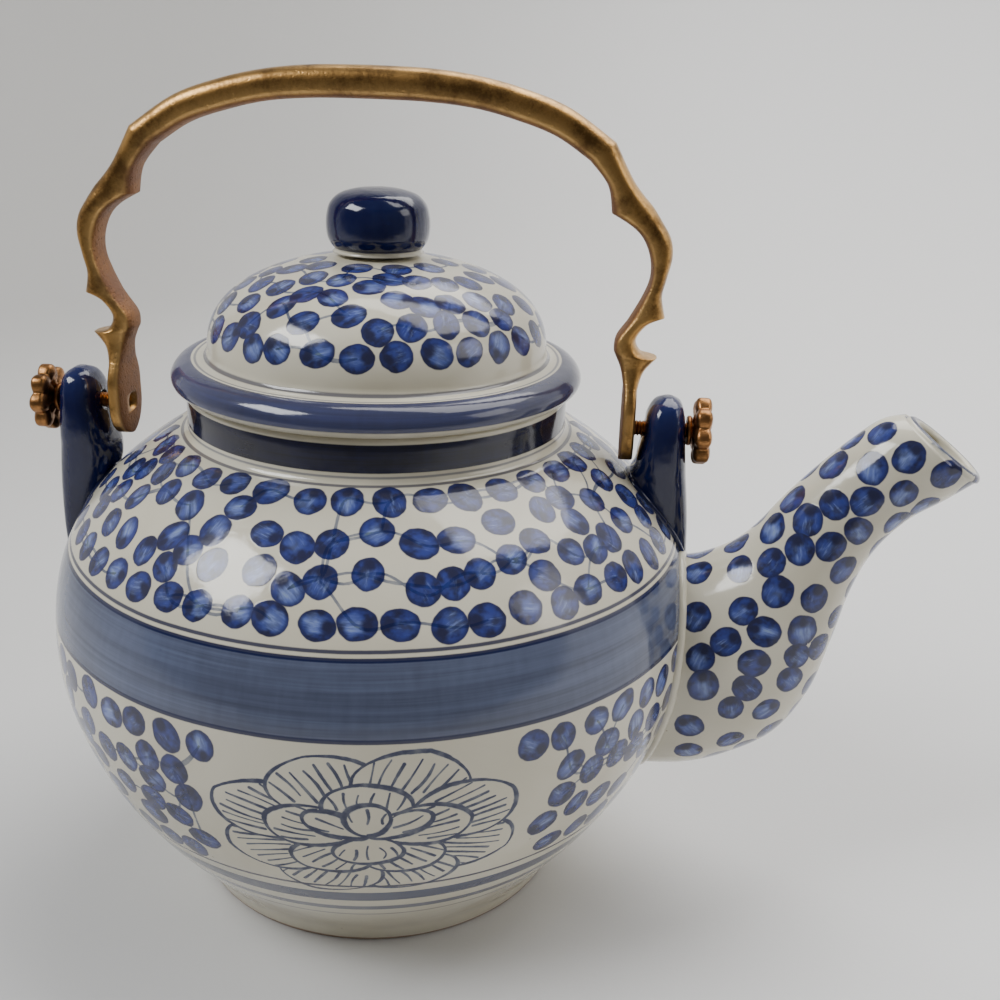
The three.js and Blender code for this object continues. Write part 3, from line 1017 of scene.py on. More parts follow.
@dataclass
class Brushwork:
    """The berries and brush lines on one piece, kept as strokes and written to its mesh."""

    dab_centres: list[np.ndarray] = field(default_factory=list)
    dab_axes: list[tuple[np.ndarray, np.ndarray]] = field(default_factory=list)
    dab_normals: list[np.ndarray] = field(default_factory=list)
    dab_tones: list[float] = field(default_factory=list)
    lines: list[tuple[np.ndarray, np.ndarray, np.ndarray, float]] = field(default_factory=list)

    def dab(
        self,
        centre: np.ndarray,
        normal: np.ndarray,
        along: np.ndarray,
        size: tuple[float, float],
        tone: float,
    ) -> None:
        """Lays one berry.

        Args:
            centre: Its middle on the surface.
            normal: The surface's outward direction there.
            along: The direction of its brush streaks, in the surface.
            size: Half its length along the streaks, and half its width.
            tone: 0 for the darkest berry, 1 for the palest.
        """
        self.dab_centres.append(centre)
        self.dab_normals.append(normal)
        self.dab_axes.append((along / size[0], np.cross(normal, along) / size[1]))
        self.dab_tones.append(tone)

    def line(self, points: np.ndarray, normals: np.ndarray, widths: np.ndarray, strength: float) -> None:
        """Draws one brush line through points, with its half width at each."""
        if len(points) > 1:
            self.lines.append((points, normals, widths, strength))

    @staticmethod
    def _nearest(
        tree: KDTree, owners: np.ndarray, centres: np.ndarray, reach: float, tries: int
    ) -> np.ndarray:
        """For each centre, the nearest sample and the nearest one of another owner, or -1."""
        found = np.full((len(centres), 2), -1)
        for row, centre in enumerate(centres):
            for _, index, distance in tree.find_n(centre, tries):
                if distance > reach:
                    break
                if found[row, 0] < 0:
                    found[row, 0] = index
                elif owners[index] != owners[found[row, 0]]:
                    found[row, 1] = index
                    break
        return found

    def paint(self, piece: bpy.types.Object, middle_x: float) -> None:
        """Writes the strokes to a mesh as corner attributes.

        Each face takes the two nearest berries and the two nearest lines, and each of its corners
        holds where it lies in their own coordinates, so that the edges stay sharp on a plain grid.

        Args:
            piece: The finished mesh's object.
            middle_x: Where x = 0 of the strokes lies along X.
        """
        mesh = piece.data
        corner = np.empty(len(mesh.loops), np.int32)
        mesh.loops.foreach_get("vertex_index", corner)
        totals = np.empty(len(mesh.polygons), np.int32)
        mesh.polygons.foreach_get("loop_total", totals)
        face = np.repeat(np.arange(len(totals)), totals)
        places = np.empty(len(mesh.vertices) * 3)
        mesh.vertices.foreach_get("co", places)
        places = places.reshape(-1, 3) / MM - (middle_x, 0, 0)
        centres = np.empty(len(totals) * 3)
        mesh.polygons.foreach_get("center", centres)
        centres = centres.reshape(-1, 3) / MM - (middle_x, 0, 0)
        normals = np.empty(len(totals) * 3)
        mesh.polygons.foreach_get("normal", normals)
        normals = normals.reshape(-1, 3)
        corners = places[corner]
        for name, values in zip(("dab_near", "dab_next"), self._dab_values(centres, normals, corners, face)):
            self._write(mesh, name, values)
        for name, values in zip(
            ("line_near", "line_next"), self._line_values(centres, normals, corners, face)
        ):
            self._write(mesh, name, values)

    @staticmethod
    def _write(mesh: bpy.types.Mesh, name: str, values: np.ndarray) -> None:
        """Stores one vector for each corner of the mesh."""
        attribute = mesh.attributes.new(name, "FLOAT_VECTOR", "CORNER")
        attribute.data.foreach_set("vector", values.astype(np.float32).ravel())

    def _dab_values(
        self, centres: np.ndarray, normals: np.ndarray, corners: np.ndarray, face: np.ndarray
    ) -> list[np.ndarray]:
        """Each corner's place in its face's two nearest berries."""
        middles = np.array(self.dab_centres)
        tree = KDTree(len(middles))
        for index, centre in enumerate(middles):
            tree.insert(centre, index)
        tree.balance()
        found = self._nearest(tree, np.arange(len(middles)), centres, 9.0, 2)
        axes = np.array(self.dab_axes)
        outward = np.array(self.dab_normals)
        tones = np.array(self.dab_tones)
        made = []
        for choice in found.T:
            facing = np.einsum("ij,ij->i", outward[choice], normals) > 0.2
            chosen = np.where(facing, choice, -1)[face]
            offset = corners - middles[chosen]
            local = np.einsum("ij,ikj->ik", offset, axes[chosen])
            values = np.column_stack([local, tones[chosen]])
            values[chosen < 0] = (9.0, 9.0, 0.0)
            made.append(values)
        return made

    def _line_values(
        self, centres: np.ndarray, normals: np.ndarray, corners: np.ndarray, face: np.ndarray
    ) -> list[np.ndarray]:
        """Each corner's place in its face's two nearest lines."""
        if not self.lines:
            return [np.full((len(corners), 3), (9.0, 9.0, 0.0))] * 2
        points = np.vstack([line[0] for line in self.lines])
        outward = np.vstack([line[1] for line in self.lines])
        widths = np.concatenate([line[2] for line in self.lines])
        strengths = np.concatenate([np.full(len(line[0]), line[3]) for line in self.lines])
        owners = np.concatenate([np.full(len(line[0]), number) for number, line in enumerate(self.lines)])
        ahead = np.vstack([unit(np.gradient(line[0], axis=0)) for line in self.lines])
        side = unit(np.cross(outward, ahead))
        first = np.concatenate([[True], owners[1:] != owners[:-1]])
        last = np.concatenate([owners[1:] != owners[:-1], [True]])
        tree = KDTree(len(points))
        for index, point in enumerate(points):
            tree.insert(point, index)
        tree.balance()
        found = self._nearest(tree, owners, centres, 3.0, 8)
        made = []
        for choice in found.T:
            facing = np.einsum("ij,ij->i", outward[choice], normals) > 0.2
            chosen = np.where(facing, choice, -1)[face]
            offset = corners - points[chosen]
            across = np.einsum("ij,ij->i", offset, side[chosen]) / widths[chosen]
            forward = np.einsum("ij,ij->i", offset, ahead[chosen]) / widths[chosen]
            beyond = np.where(last[chosen], np.maximum(forward, 0), 0) + np.where(
                first[chosen], np.maximum(-forward, 0), 0
            )
            values = np.column_stack([across, beyond, strengths[chosen]])
            values[chosen < 0] = (9.0, 9.0, 0.0)
            made.append(values)
        return made


@dataclass(frozen=True)
class BerryRows:
    """Berries in a zone round a turned surface: rows along its edges, a scatter between, and vines."""

    first: float
    last: float
    pitch: float
    size: float
    scatter: float
    seed: int
    vines: int
    darts: int = 2600
    # The least distance between two berries, in radii, for each pass.
    gaps: tuple[float, ...] = (2.0, 1.86, 1.72, 1.58)

    def lay(self, surface: TurnedSurface, brush: Brushwork, free: Callable[[float, float], bool]) -> None:
        """Lays the berries and the vines.

        Args:
            surface: The surface that is painted.
            brush: Where the strokes are kept.
            free: Whether a berry may lie at an azimuth and a distance along the profile.
        """
        chance = np.random.default_rng(self.seed)
        spots: list[tuple[float, float]] = []
        for along in (self.first, self.last):
            radius = float(surface.radius(along))
            count = round(2 * math.pi * radius / self.pitch)
            for k in range(count):
                azimuth = (k + chance.normal(0, 0.06)) / count * 2 * math.pi
                spots.append((azimuth, along + chance.normal(0, self.scatter / 3)))
        spots = [spot for spot in spots if free(*spot) and chance.random() > 0.03]
        places = [surface.points(*np.array(spot)) for spot in spots]
        for gap in self.gaps:
            darts = np.column_stack(
                [
                    chance.uniform(0, 2 * math.pi, self.darts),
                    chance.uniform(self.first, self.last, self.darts),
                ]
            )
            for dart, place in zip(darts, surface.points(darts[:, 0], darts[:, 1])):
                near = np.linalg.norm(np.array(places) - place, axis=1).min()
                if near < gap * self.size or not free(*dart):
                    continue
                spots.append(tuple(dart))
                places.append(place)
        for azimuth, along in spots:
            self._berry(surface, brush, chance, azimuth, along)
        self._link(surface, brush, chance, np.array(spots), free)

    def _berry(
        self,
        surface: TurnedSurface,
        brush: Brushwork,
        chance: np.random.Generator,
        azimuth: float,
        along: float,
    ) -> None:
        """Lays one berry with its own size, lean and tone."""
        side, up, normal = surface.frames(np.array(azimuth), np.array(along))
        lean = chance.normal(0, 0.75) + (math.pi if chance.random() < 0.3 else 0)
        length = self.size * chance.uniform(0.96, 1.14)
        width = self.size * chance.uniform(0.86, 1.0)
        centre = surface.points(np.array(azimuth), np.array(along))
        direction = math.cos(lean) * side + math.sin(lean) * up
        brush.dab(centre, normal, direction, (length, width), float(chance.beta(1.3, 1.7)))

    def _link(
        self,
        surface: TurnedSurface,
        brush: Brushwork,
        chance: np.random.Generator,
        spots: np.ndarray,
        free: Callable[[float, float], bool],
    ) -> None:
        """Draws vines that wander from berry to berry round the pot."""
        for _ in range(self.vines):
            here = int(chance.integers(len(spots)))
            heading = chance.normal(0, 0.45)
            route = [here]
            for _ in range(int(chance.integers(2, 5))):
                offset = spots - spots[here]
                offset[:, 0] = (offset[:, 0] + math.pi) % (2 * math.pi) - math.pi
                across = offset[:, 0] * surface.radius(spots[here, 1])
                distance = np.hypot(across, offset[:, 1])
                angle = np.abs(np.arctan2(offset[:, 1], across) - heading)
                cost = distance + 9.0 * angle
                cost[(distance < 5.0) | (distance > 17.0)] = 1e6
                following = int(np.argmin(cost))
                if cost[following] > 1e5 or following in route:
                    break
                route.append(following)
                here = following
                heading += chance.normal(0, 0.25)
            if len(route) < 2:
                continue
            path = spots[route].copy()
            path[:, 0] = np.unwrap(path[:, 0])
            fine = evenly(path * (60.0, 1.0), 1.0) / (60.0, 1.0)
            bow = np.sin(np.linspace(0, math.pi * (len(route) - 1), len(fine))) * chance.uniform(0.5, 1.4)
            fine[:, 1] += bow
            fine = np.array([spot for spot in fine if free(spot[0], spot[1])])
            if len(fine) < 4:
                continue
            normals = surface.frames(fine[:, 0], fine[:, 1])[2]
            taper = 0.24 + 0.13 * np.sin(np.linspace(0.3, math.pi - 0.3, len(fine)))
            brush.line(surface.points(fine[:, 0], fine[:, 1]), normals, taper, 0.80)


@dataclass(frozen=True)
class Petal:
    """One petal of the line-drawn flower, in the flower's own plane."""

    angle: float
    reach: float
    inner: float
    half_width: float
    lobes: int
    line: float
    hatch: int

    def _axes(self) -> tuple[np.ndarray, np.ndarray]:
        """The petal's outward direction and its sideways direction."""
        outward = np.array([math.cos(self.angle), math.sin(self.angle)])
        return outward, np.array([-outward[1], outward[0]])

    def outline(self, chance: np.random.Generator) -> np.ndarray:
        """The closed edge: an egg with its blunt end outwards, scalloped into lobes."""
        outward, sideways = self._axes()
        turn = np.linspace(-math.pi, math.pi, 90)
        middle_out = (self.reach + self.inner) / 2
        half_length = (self.reach - self.inner) / 2
        tip = np.clip(np.cos(turn), 0, 1)
        scallop = 1 - 0.12 * tip * np.abs(np.sin(self.lobes * turn / 2 + chance.uniform(-0.2, 0.2)))
        uneven = 1 + 0.025 * np.sin(2 * turn + chance.uniform(0, 6))
        out = middle_out + half_length * np.cos(turn) * scallop * uneven
        across = self.half_width * np.sin(turn) * (0.86 + 0.14 * np.cos(turn)) * scallop
        return out[:, None] * outward + across[:, None] * sideways

    def veins(self, chance: np.random.Generator) -> list[np.ndarray]:
        """Short strokes that fan out across the petal."""
        outward, sideways = self._axes()
        middle_out = (self.reach + self.inner) / 2
        half_length = (self.reach - self.inner) / 2
        made = []
        for share in np.linspace(-0.72, 0.72, self.hatch):
            room = math.sqrt(1 - share**2) * half_length
            start = middle_out - room * chance.uniform(0.05, 0.40)
            end = middle_out + room * chance.uniform(0.62, 0.80)
            out = np.linspace(start, end, 12)
            fan = 0.78 + 0.22 * (out - start) / (end - start)
            bend = chance.normal(0, 0.25) * np.sin(np.linspace(0, math.pi, 12))
            across = share * self.half_width * fan + bend
            made.append(out[:, None] * outward + across[:, None] * sideways)
        return made


@dataclass(frozen=True)
class FlowerPanel:
    """An open line-drawn flower in rings of petals, each ring in front of the next."""

    azimuth: float
    along: float
    stretch: float = 1.50
    half_width: float = 35.5
    low: float = 34.0
    high: float = 80.4
    seed: int = 5

    def petals(self) -> list[Petal]:
        """The petals, nearest first: the bud, its collar, the inner ring and the outer ring."""
        made = []
        for degrees, reach in ((90, 9.6), (142, 10.6), (38, 10.6)):
            made.append(Petal(math.radians(degrees), reach, 0.2, 3.6, 1, 0.66, 3))
        made.append(Petal(math.radians(270), 9.4, 0.0, 5.8, 1, 0.58, 5))
        for k in range(5):
            angle = math.radians(18 + 72 * k)
            made.append(Petal(angle, 14.6, 2.0, 7.0, 2, 0.54, 6))
        for k in range(8):
            angle = math.radians(22.5 + 45 * k)
            made.append(Petal(angle, 22.0 + (k % 2), 6.0, 9.2, 2 + k % 2, 0.50 - 0.05 * (k % 3), 8))
        return made

    def covers(self, azimuth: float, along: float) -> bool:
        """Whether a berry here would fall on the flower."""
        across = ((azimuth - self.azimuth + math.pi) % (2 * math.pi) - math.pi) * 76.5
        inside = (abs(across) / (self.half_width + 2.8)) ** 3 + (abs(along - self.along) / 27.0) ** 3
        return inside < 1

    def draw(self, surface: TurnedSurface, brush: Brushwork) -> None:
        """Draws every petal, leaving out what a nearer petal hides."""
        chance = np.random.default_rng(self.seed)
        hidden_by: list[np.ndarray] = []
        for petal in self.petals():
            edge = petal.outline(chance)
            drawings = [(edge, petal.line, 0.98)] + [(vein, 0.33, 0.95) for vein in petal.veins(chance)]
            for flat, width, strength in drawings:
                fine = resample(flat, np.arange(0, lengths_along(flat)[-1], 0.4))
                shown = np.ones(len(fine), bool)
                for other in hidden_by:
                    shown &= ~self._inside(fine, other)
                for run in np.split(np.arange(len(fine)), np.flatnonzero(np.diff(shown.astype(int))) + 1):
                    if shown[run[0]]:
                        self._put(surface, brush, chance, fine[run], width, strength)
            hidden_by.append(edge)

    def _put(
        self,
        surface: TurnedSurface,
        brush: Brushwork,
        chance: np.random.Generator,
        flat: np.ndarray,
        width: float,
        strength: float,
    ) -> None:
        """Bends one flat stroke on to the pot and draws it, thick and thin as a brush leaves it."""
        along = self.along + flat[:, 1]
        inside = (along > self.low) & (along < self.high)
        if inside.sum() < 3:
            return
        flat, along = flat[inside], along[inside]
        azimuth = self.azimuth + flat[:, 0] * self.stretch / 76.5
        swell = 1 + 0.32 * np.sin(np.linspace(0, 0.16 * len(flat), len(flat)) + chance.uniform(0, 6))
        normals = surface.frames(azimuth, along)[2]
        brush.line(surface.points(azimuth, along), normals, width * swell, strength)

    @staticmethod
    def _inside(points: np.ndarray, polygon: np.ndarray) -> np.ndarray:
        """Whether each point lies inside a closed outline."""
        result = np.zeros(len(points), bool)
        for start, end in zip(polygon, np.roll(polygon, -1, axis=0)):
            between = (start[1] > points[:, 1]) != (end[1] > points[:, 1])
            rise = end[1] - start[1]
            if rise == 0:
                continue
            crossing = start[0] + (points[:, 1] - start[1]) * (end[0] - start[0]) / rise
            result ^= between & (points[:, 0] < crossing)
        return result


# ---------------------------------------------------------------- geometry node trees


class Growth:
    """The geometry node trees for what repeats or follows a path, each built once."""

    def __init__(self) -> None:
        self.bead = self._bead()
        self.thread = self._thread()
        self.flower_head = self._flower_head()
        self.drills = self._drills()

    @staticmethod
    def _close(w: Wiring, outlet: bpy.types.Node, geometry: Socket, material: Socket) -> None:
        """Ends a tree: smooth shading, real geometry and its material."""
        smooth = w.fed("GeometryNodeSetShadeSmooth", {"Geometry": geometry}).outputs[0]
        real = w.fed("GeometryNodeRealizeInstances", {"Geometry": smooth}).outputs[0]
        dressed = w.fed("GeometryNodeSetMaterial", {"Geometry": real, "Material": material}).outputs[0]
        w.feed(outlet.inputs[0], dressed)

    @classmethod
    def _bead(cls) -> bpy.types.NodeTree:
        """A round bead that follows the edges of its own mesh."""
        tree, w, inlet, outlet = new_group(
            "GeometryNodeTree",
            "bead_on_path",
            {
                "Geometry": ("Geometry", None),
                "Radius": ("Float", 0.001),
                "Sides": ("Int", 12),
                "Material": ("Material", None),
            },
            {"Geometry": "Geometry"},
        )
        path = w.fed("GeometryNodeMeshToCurve", {"Mesh": inlet.outputs["Geometry"]}).outputs[0]
        ring = w.fed(
            "GeometryNodeCurvePrimitiveCircle",
            {"Resolution": inlet.outputs["Sides"], "Radius": inlet.outputs["Radius"]},
        ).outputs[0]
        tube = w.fed(
            "GeometryNodeCurveToMesh", {"Curve": path, "Profile Curve": ring, "Fill Caps": True}
        ).outputs[0]
        cls._close(w, outlet, tube, inlet.outputs["Material"])
        return tree

    @classmethod
    def _thread(cls) -> bpy.types.NodeTree:
        """A threaded stud along X: a core and a helical ridge."""
        tree, w, inlet, outlet = new_group(
            "GeometryNodeTree",
            "threaded_stud",
            {
                "Radius": ("Float", 0.0019),
                "Ridge": ("Float", 0.0003),
                "Turns": ("Float", 20.0),
                "Length": ("Float", 0.02),
                "Middle": ("Vector", None),
                "Material": ("Material", None),
            },
            {"Geometry": "Geometry"},
        )
        core_radius = w.math("SUBTRACT", inlet.outputs["Radius"], inlet.outputs["Ridge"])
        values = {"Vertices": 28, "Radius": core_radius, "Depth": inlet.outputs["Length"]}
        core = w.fed("GeometryNodeMeshCylinder", values).outputs[0]
        inner_length = w.math("MULTIPLY", inlet.outputs["Length"], 0.92)
        values = {
            "Resolution": 22,
            "Rotations": inlet.outputs["Turns"],
            "Start Radius": core_radius,
            "End Radius": core_radius,
            "Height": inner_length,
        }
        helix = w.fed("GeometryNodeCurveSpiral", values).outputs[0]
        ridge = w.fed(
            "GeometryNodeCurvePrimitiveCircle", {"Resolution": 5, "Radius": inlet.outputs["Ridge"]}
        ).outputs[0]
        coil = w.fed(
            "GeometryNodeCurveToMesh", {"Curve": helix, "Profile Curve": ridge, "Fill Caps": True}
        ).outputs[0]
        drop = w.join(0.0, 0.0, w.math("MULTIPLY", inner_length, -0.5))
        coil = w.fed("GeometryNodeTransform", {"Geometry": coil, "Translation": drop}).outputs[0]
        both = w.node("GeometryNodeJoinGeometry")
        w.feed(both.inputs[0], core)
        w.feed(both.inputs[0], coil)
        values = {
            "Geometry": both.outputs[0],
            "Translation": inlet.outputs["Middle"],
            "Rotation": (0.0, math.pi / 2, 0.0),
        }
        laid = w.fed("GeometryNodeTransform", values).outputs[0]
        cls._close(w, outlet, laid, inlet.outputs["Material"])
        return tree

    @classmethod
    def _flower_head(cls) -> bpy.types.NodeTree:
        """A cast knob of rounded lobes: a ball whose radius swells and shrinks round its axis."""
        tree, w, inlet, outlet = new_group(
            "GeometryNodeTree",
            "lobed_head",
            {
                "Radius": ("Float", 0.0083),
                "Valley": ("Float", 0.0066),
                "Lobes": ("Float", 8.0),
                "Thickness": ("Float", 0.0044),
                "Middle": ("Vector", None),
                "Facing": ("Vector", None),
                "Material": ("Material", None),
            },
            {"Geometry": "Geometry"},
        )
        ball = w.fed("GeometryNodeMeshUVSphere", {"Segments": 128, "Rings": 40, "Radius": 1.0}).outputs[0]
        x, y, z = w.split(w.node("GeometryNodeInputPosition").outputs[0])
        turn = w.math("ARCTAN2", y, x)
        lobe = w.math("COSINE", w.math("MULTIPLY", turn, inlet.outputs["Lobes"]))
        lobe = w.math("POWER", w.math("MULTIPLY_ADD", lobe, 0.5, 0.5), 0.55)
        span = w.math("SUBTRACT", inlet.outputs["Radius"], inlet.outputs["Valley"])
        reach = w.math("MULTIPLY_ADD", span, lobe, inlet.outputs["Valley"])
        flat = w.hypotenuse(x, y)
        squared = w.math("POWER", flat, 0.40)
        spread = w.math("MULTIPLY", w.math("DIVIDE", squared, w.math("MAXIMUM", flat, 1e-5)), reach)
        groove = w.math("MULTIPLY", w.math("SUBTRACT", 1.0, lobe), w.math("MULTIPLY", squared, 0.26))
        boss = w.smooth(flat, 0.22, 0.10)
        hollow = w.math("MULTIPLY", w.math("SUBTRACT", w.smooth(flat, 0.50, 0.18), boss), 0.18)
        level = w.math("SUBTRACT", w.math("SUBTRACT", 1.0, groove), hollow)
        rise = w.math("MULTIPLY", w.math("SIGN", z), w.math("POWER", w.math("ABSOLUTE", z), 0.42))
        height = w.math(
            "MULTIPLY", w.math("MULTIPLY", rise, level), w.math("MULTIPLY", inlet.outputs["Thickness"], 0.5)
        )
        moved = w.join(w.math("MULTIPLY", x, spread), w.math("MULTIPLY", y, spread), height)
        shaped = w.fed("GeometryNodeSetPosition", {"Geometry": ball, "Position": moved}).outputs[0]
        values = {
            "Geometry": shaped,
            "Translation": inlet.outputs["Middle"],
            "Rotation": inlet.outputs["Facing"],
        }
        laid = w.fed("GeometryNodeTransform", values).outputs[0]
        cls._close(w, outlet, laid, inlet.outputs["Material"])
        return tree

    @classmethod
    def _drills(cls) -> bpy.types.NodeTree:
        """The strainer's drills along X: one in the middle and a ring of six."""
        tree, w, inlet, outlet = new_group(
            "GeometryNodeTree",
            "strainer_drills",
            {
                "Pitch": ("Float", 0.009),
                "Radius": ("Float", 0.0025),
                "Depth": ("Float", 0.02),
                "Middle": ("Vector", None),
                "Turn": ("Vector", None),
                "Material": ("Material", None),
            },
            {"Geometry": "Geometry"},
        )
        ring = w.fed("GeometryNodeMeshCircle", {"Vertices": 6, "Radius": inlet.outputs["Pitch"]}).outputs[0]
        centre = w.fed("GeometryNodePoints", {"Count": 1}).outputs[0]
        spots = w.node("GeometryNodeJoinGeometry")
        w.feed(spots.inputs[0], w.fed("GeometryNodeMeshToPoints", {"Mesh": ring}).outputs[0])
        w.feed(spots.inputs[0], centre)
        values = {"Vertices": 32, "Radius": inlet.outputs["Radius"], "Depth": inlet.outputs["Depth"]}
        drill = w.fed("GeometryNodeMeshCylinder", values).outputs[0]
        set_out = w.fed(
            "GeometryNodeInstanceOnPoints", {"Points": spots.outputs[0], "Instance": drill}
        ).outputs[0]
        laid = w.fed(
            "GeometryNodeTransform", {"Geometry": set_out, "Rotation": (0.0, math.pi / 2, 0.0)}
        ).outputs[0]
        values = {
            "Geometry": laid, "Translation": inlet.outputs["Middle"], "Rotation": inlet.outputs["Turn"]
        }
        laid = w.fed("GeometryNodeTransform", values).outputs[0]
        cls._close(w, outlet, laid, inlet.outputs["Material"])
        return tree

    @staticmethod
    def make(
        name: str, tree: bpy.types.NodeTree, values: dict[str, object], seed: bpy.types.Mesh | None = None
    ) -> bpy.types.Object:
        """Runs a tree and keeps what it makes as a plain mesh.

        Args:
            name: The piece's name.
            tree: The geometry node tree.
            values: Its inputs by name.
            seed: The mesh that it starts from, if it needs one.

        Returns:
            The new object, with no modifier left on it.
        """
        piece = bpy.data.objects.new(name, seed or bpy.data.meshes.new(name))
        bpy.context.collection.objects.link(piece)
        modifier = piece.modifiers.new("grow", "NODES")
        modifier.node_group = tree
        for item in tree.interface.items_tree:
            if item.in_out == "INPUT" and item.name in values:
                modifier[item.identifier] = values[item.name]
        settle(piece)
        return piece


def path_mesh(name: str, points: np.ndarray, middle_x: float, looped: bool) -> bpy.types.Mesh:
    """A chain of edges through millimetre points, for a tree that follows it.

    Args:
        name: The mesh's name.
        points: What the chain runs through, with x measured from middle_x.
        middle_x: Where x = 0 of the points lies along X.
        looped: Whether the chain closes.

    Returns:
        The mesh.
    """
    mesh = bpy.data.meshes.new(name)
    count = len(points)
    edges = [(k, (k + 1) % count) for k in range(count if looped else count - 1)]
    mesh.from_pydata(((points + (middle_x, 0, 0)) * MM).tolist(), edges, [])
    return mesh


# ---------------------------------------------------------------- the pot


@dataclass
class PotBody:
    """The thrown body with its foot, its neck, its strainer holes and its painting."""

    box: PaintBox
    growth: Growth
    wall: float = 4.0
    foot_radius: float = 48.2
    foot_ring: float = 5.0
    foot_recess: float = 3.0
    floor_height: float = 7.5
    neck_radius: float = 45.6
    neck_bore: float = 41.6
    neck_base: float = 117.6
    neck_top: float = 127.3
    belly: tuple[tuple[float, float], ...] = (
        (51.6, 7.5),
        (63, 22.4),
        (71.8, 37.4),
        (77.3, 52.3),
        (79.4, 65.5),
        (78.4, 80.5),
        (74.1, 93),
        (65.6, 104.2),
        (57, 111.5),
        (49, 116.8),
    )
    flower: FlowerPanel = FlowerPanel(azimuth=math.radians(-81.9), along=58.7)
    skin: float = 0.05
    strainer_pitch: float = 9.0
    strainer_radius: float = 2.5
    strainer_height: float = 62.0
    strainer_reach: float = 76.0  # from the axis to the middle of the drills
    strainer_depth: float = 24.0  # how long the drills are
    flower_radius: float = 76.5  # turns the flower's width into an angle
    column_radius: float = 77.0  # turns a step between columns into an angle
    fine_step: float = 0.5
    coarse_step: float = 1.4

    def __post_init__(self) -> None:
        curve = spline(self.belly, np.linspace(0, 1, 400)) - (self.skin, 0)
        foot = [[self.foot_radius + 0.1, 1.2], [48.9, 3.6], [50.2, 5.8]]
        neck = [[46.6, 117.35], [self.neck_radius, 118.3], [self.neck_radius, self.neck_top - 0.9]]
        self.outside = TurnedSurface(np.vstack([foot, curve, neck]))
        self.curve = curve

    def radius_at(self, height: np.ndarray) -> np.ndarray:
        """The belly's outer radius at a height."""
        return np.interp(height, self.curve[:, 1], self.curve[:, 0])

    def _profile(self) -> np.ndarray:
        """The whole closed profile, from under the foot, over the neck and down to the floor."""
        surface = self.outside
        total = surface.along[-1]
        fine_low, fine_high = self.flower.low - 1, self.flower.high + 1
        stops = np.concatenate(
            [
                np.arange(0, fine_low, self.coarse_step),
                np.arange(fine_low, fine_high, self.fine_step),
                np.arange(fine_high, total - self.coarse_step, self.coarse_step),
                [total],
            ]
        )
        outer = resample(surface.profile, stops)
        ring_inner = self.foot_radius - self.foot_ring
        base = [
            [0, self.foot_recess],
            [20, self.foot_recess],
            [ring_inner - 1.4, self.foot_recess],
            [ring_inner - 0.3, 0.5],
            [ring_inner + 0.5, 0.0],
            [self.foot_radius - 0.9, 0.0],
            [self.foot_radius - 0.2, 0.4],
        ]
        lip = [
            [self.neck_radius - 0.3, self.neck_top - 0.25],
            [self.neck_radius - 1.1, self.neck_top],
            [self.neck_bore + 1.1, self.neck_top],
            [self.neck_bore + 0.2, self.neck_top - 0.3],
            [self.neck_bore, self.neck_top - 1.1],
            [self.neck_bore, self.neck_base - 1],
        ]
        tangent = unit(np.gradient(self.curve, axis=0))
        inner = self.curve + np.stack([-tangent[:, 1], tangent[:, 0]], axis=1) * self.wall
        inner = inner[(inner[:, 0] > self.neck_bore + 0.5) & (inner[:, 1] > self.floor_height + 5)][::-24]
        floor = [
            [inner[-1, 0] - 5, self.floor_height + 1.2],
            [inner[-1, 0] - 12, self.floor_height],
            [0, self.floor_height],
        ]
        return np.vstack([base, outer, lip, inner, floor])

    def _azimuths(self) -> np.ndarray:
        """Column angles, closer together where the flower is drawn."""
        half = (self.flower.half_width + 2) / self.flower_radius
        fine = np.arange(-half, half, self.fine_step / self.column_radius)
        rest = 2 * math.pi - 2 * half
        count = round(rest * self.column_radius / self.coarse_step)
        coarse = half + np.arange(0, count) * self.coarse_step / self.column_radius
        return self.flower.azimuth + np.concatenate([fine, coarse])

    def _paint(self, piece: bpy.types.Object) -> None:
        """Lays the berries, the vines and the flower."""
        brush = Brushwork()
        surface = self.outside
        shoulder = surface.along_at_height(93.0)
        upper = BerryRows(shoulder + 4.9, surface.along_at_height(116.2) - 1.4, 8.6, 3.85, 1.25, 11, 70)
        upper.lay(surface, brush, lambda azimuth, along: along > shoulder + 2.4)
        line_low = surface.along_at_height(34.0)
        line_high = surface.along_at_height(75.0)
        lower = BerryRows(line_low + 4.6, line_high - 4.8, 8.8, 3.9, 1.3, 23, 60)
        lower.lay(
            surface,
            brush,
            lambda azimuth, along: (
                line_low + 1.5 < along < line_high - 1.5 and not self.flower.covers(azimuth, along)
            ),
        )
        self.flower.draw(surface, brush)
        brush.paint(piece, AXIS_X)

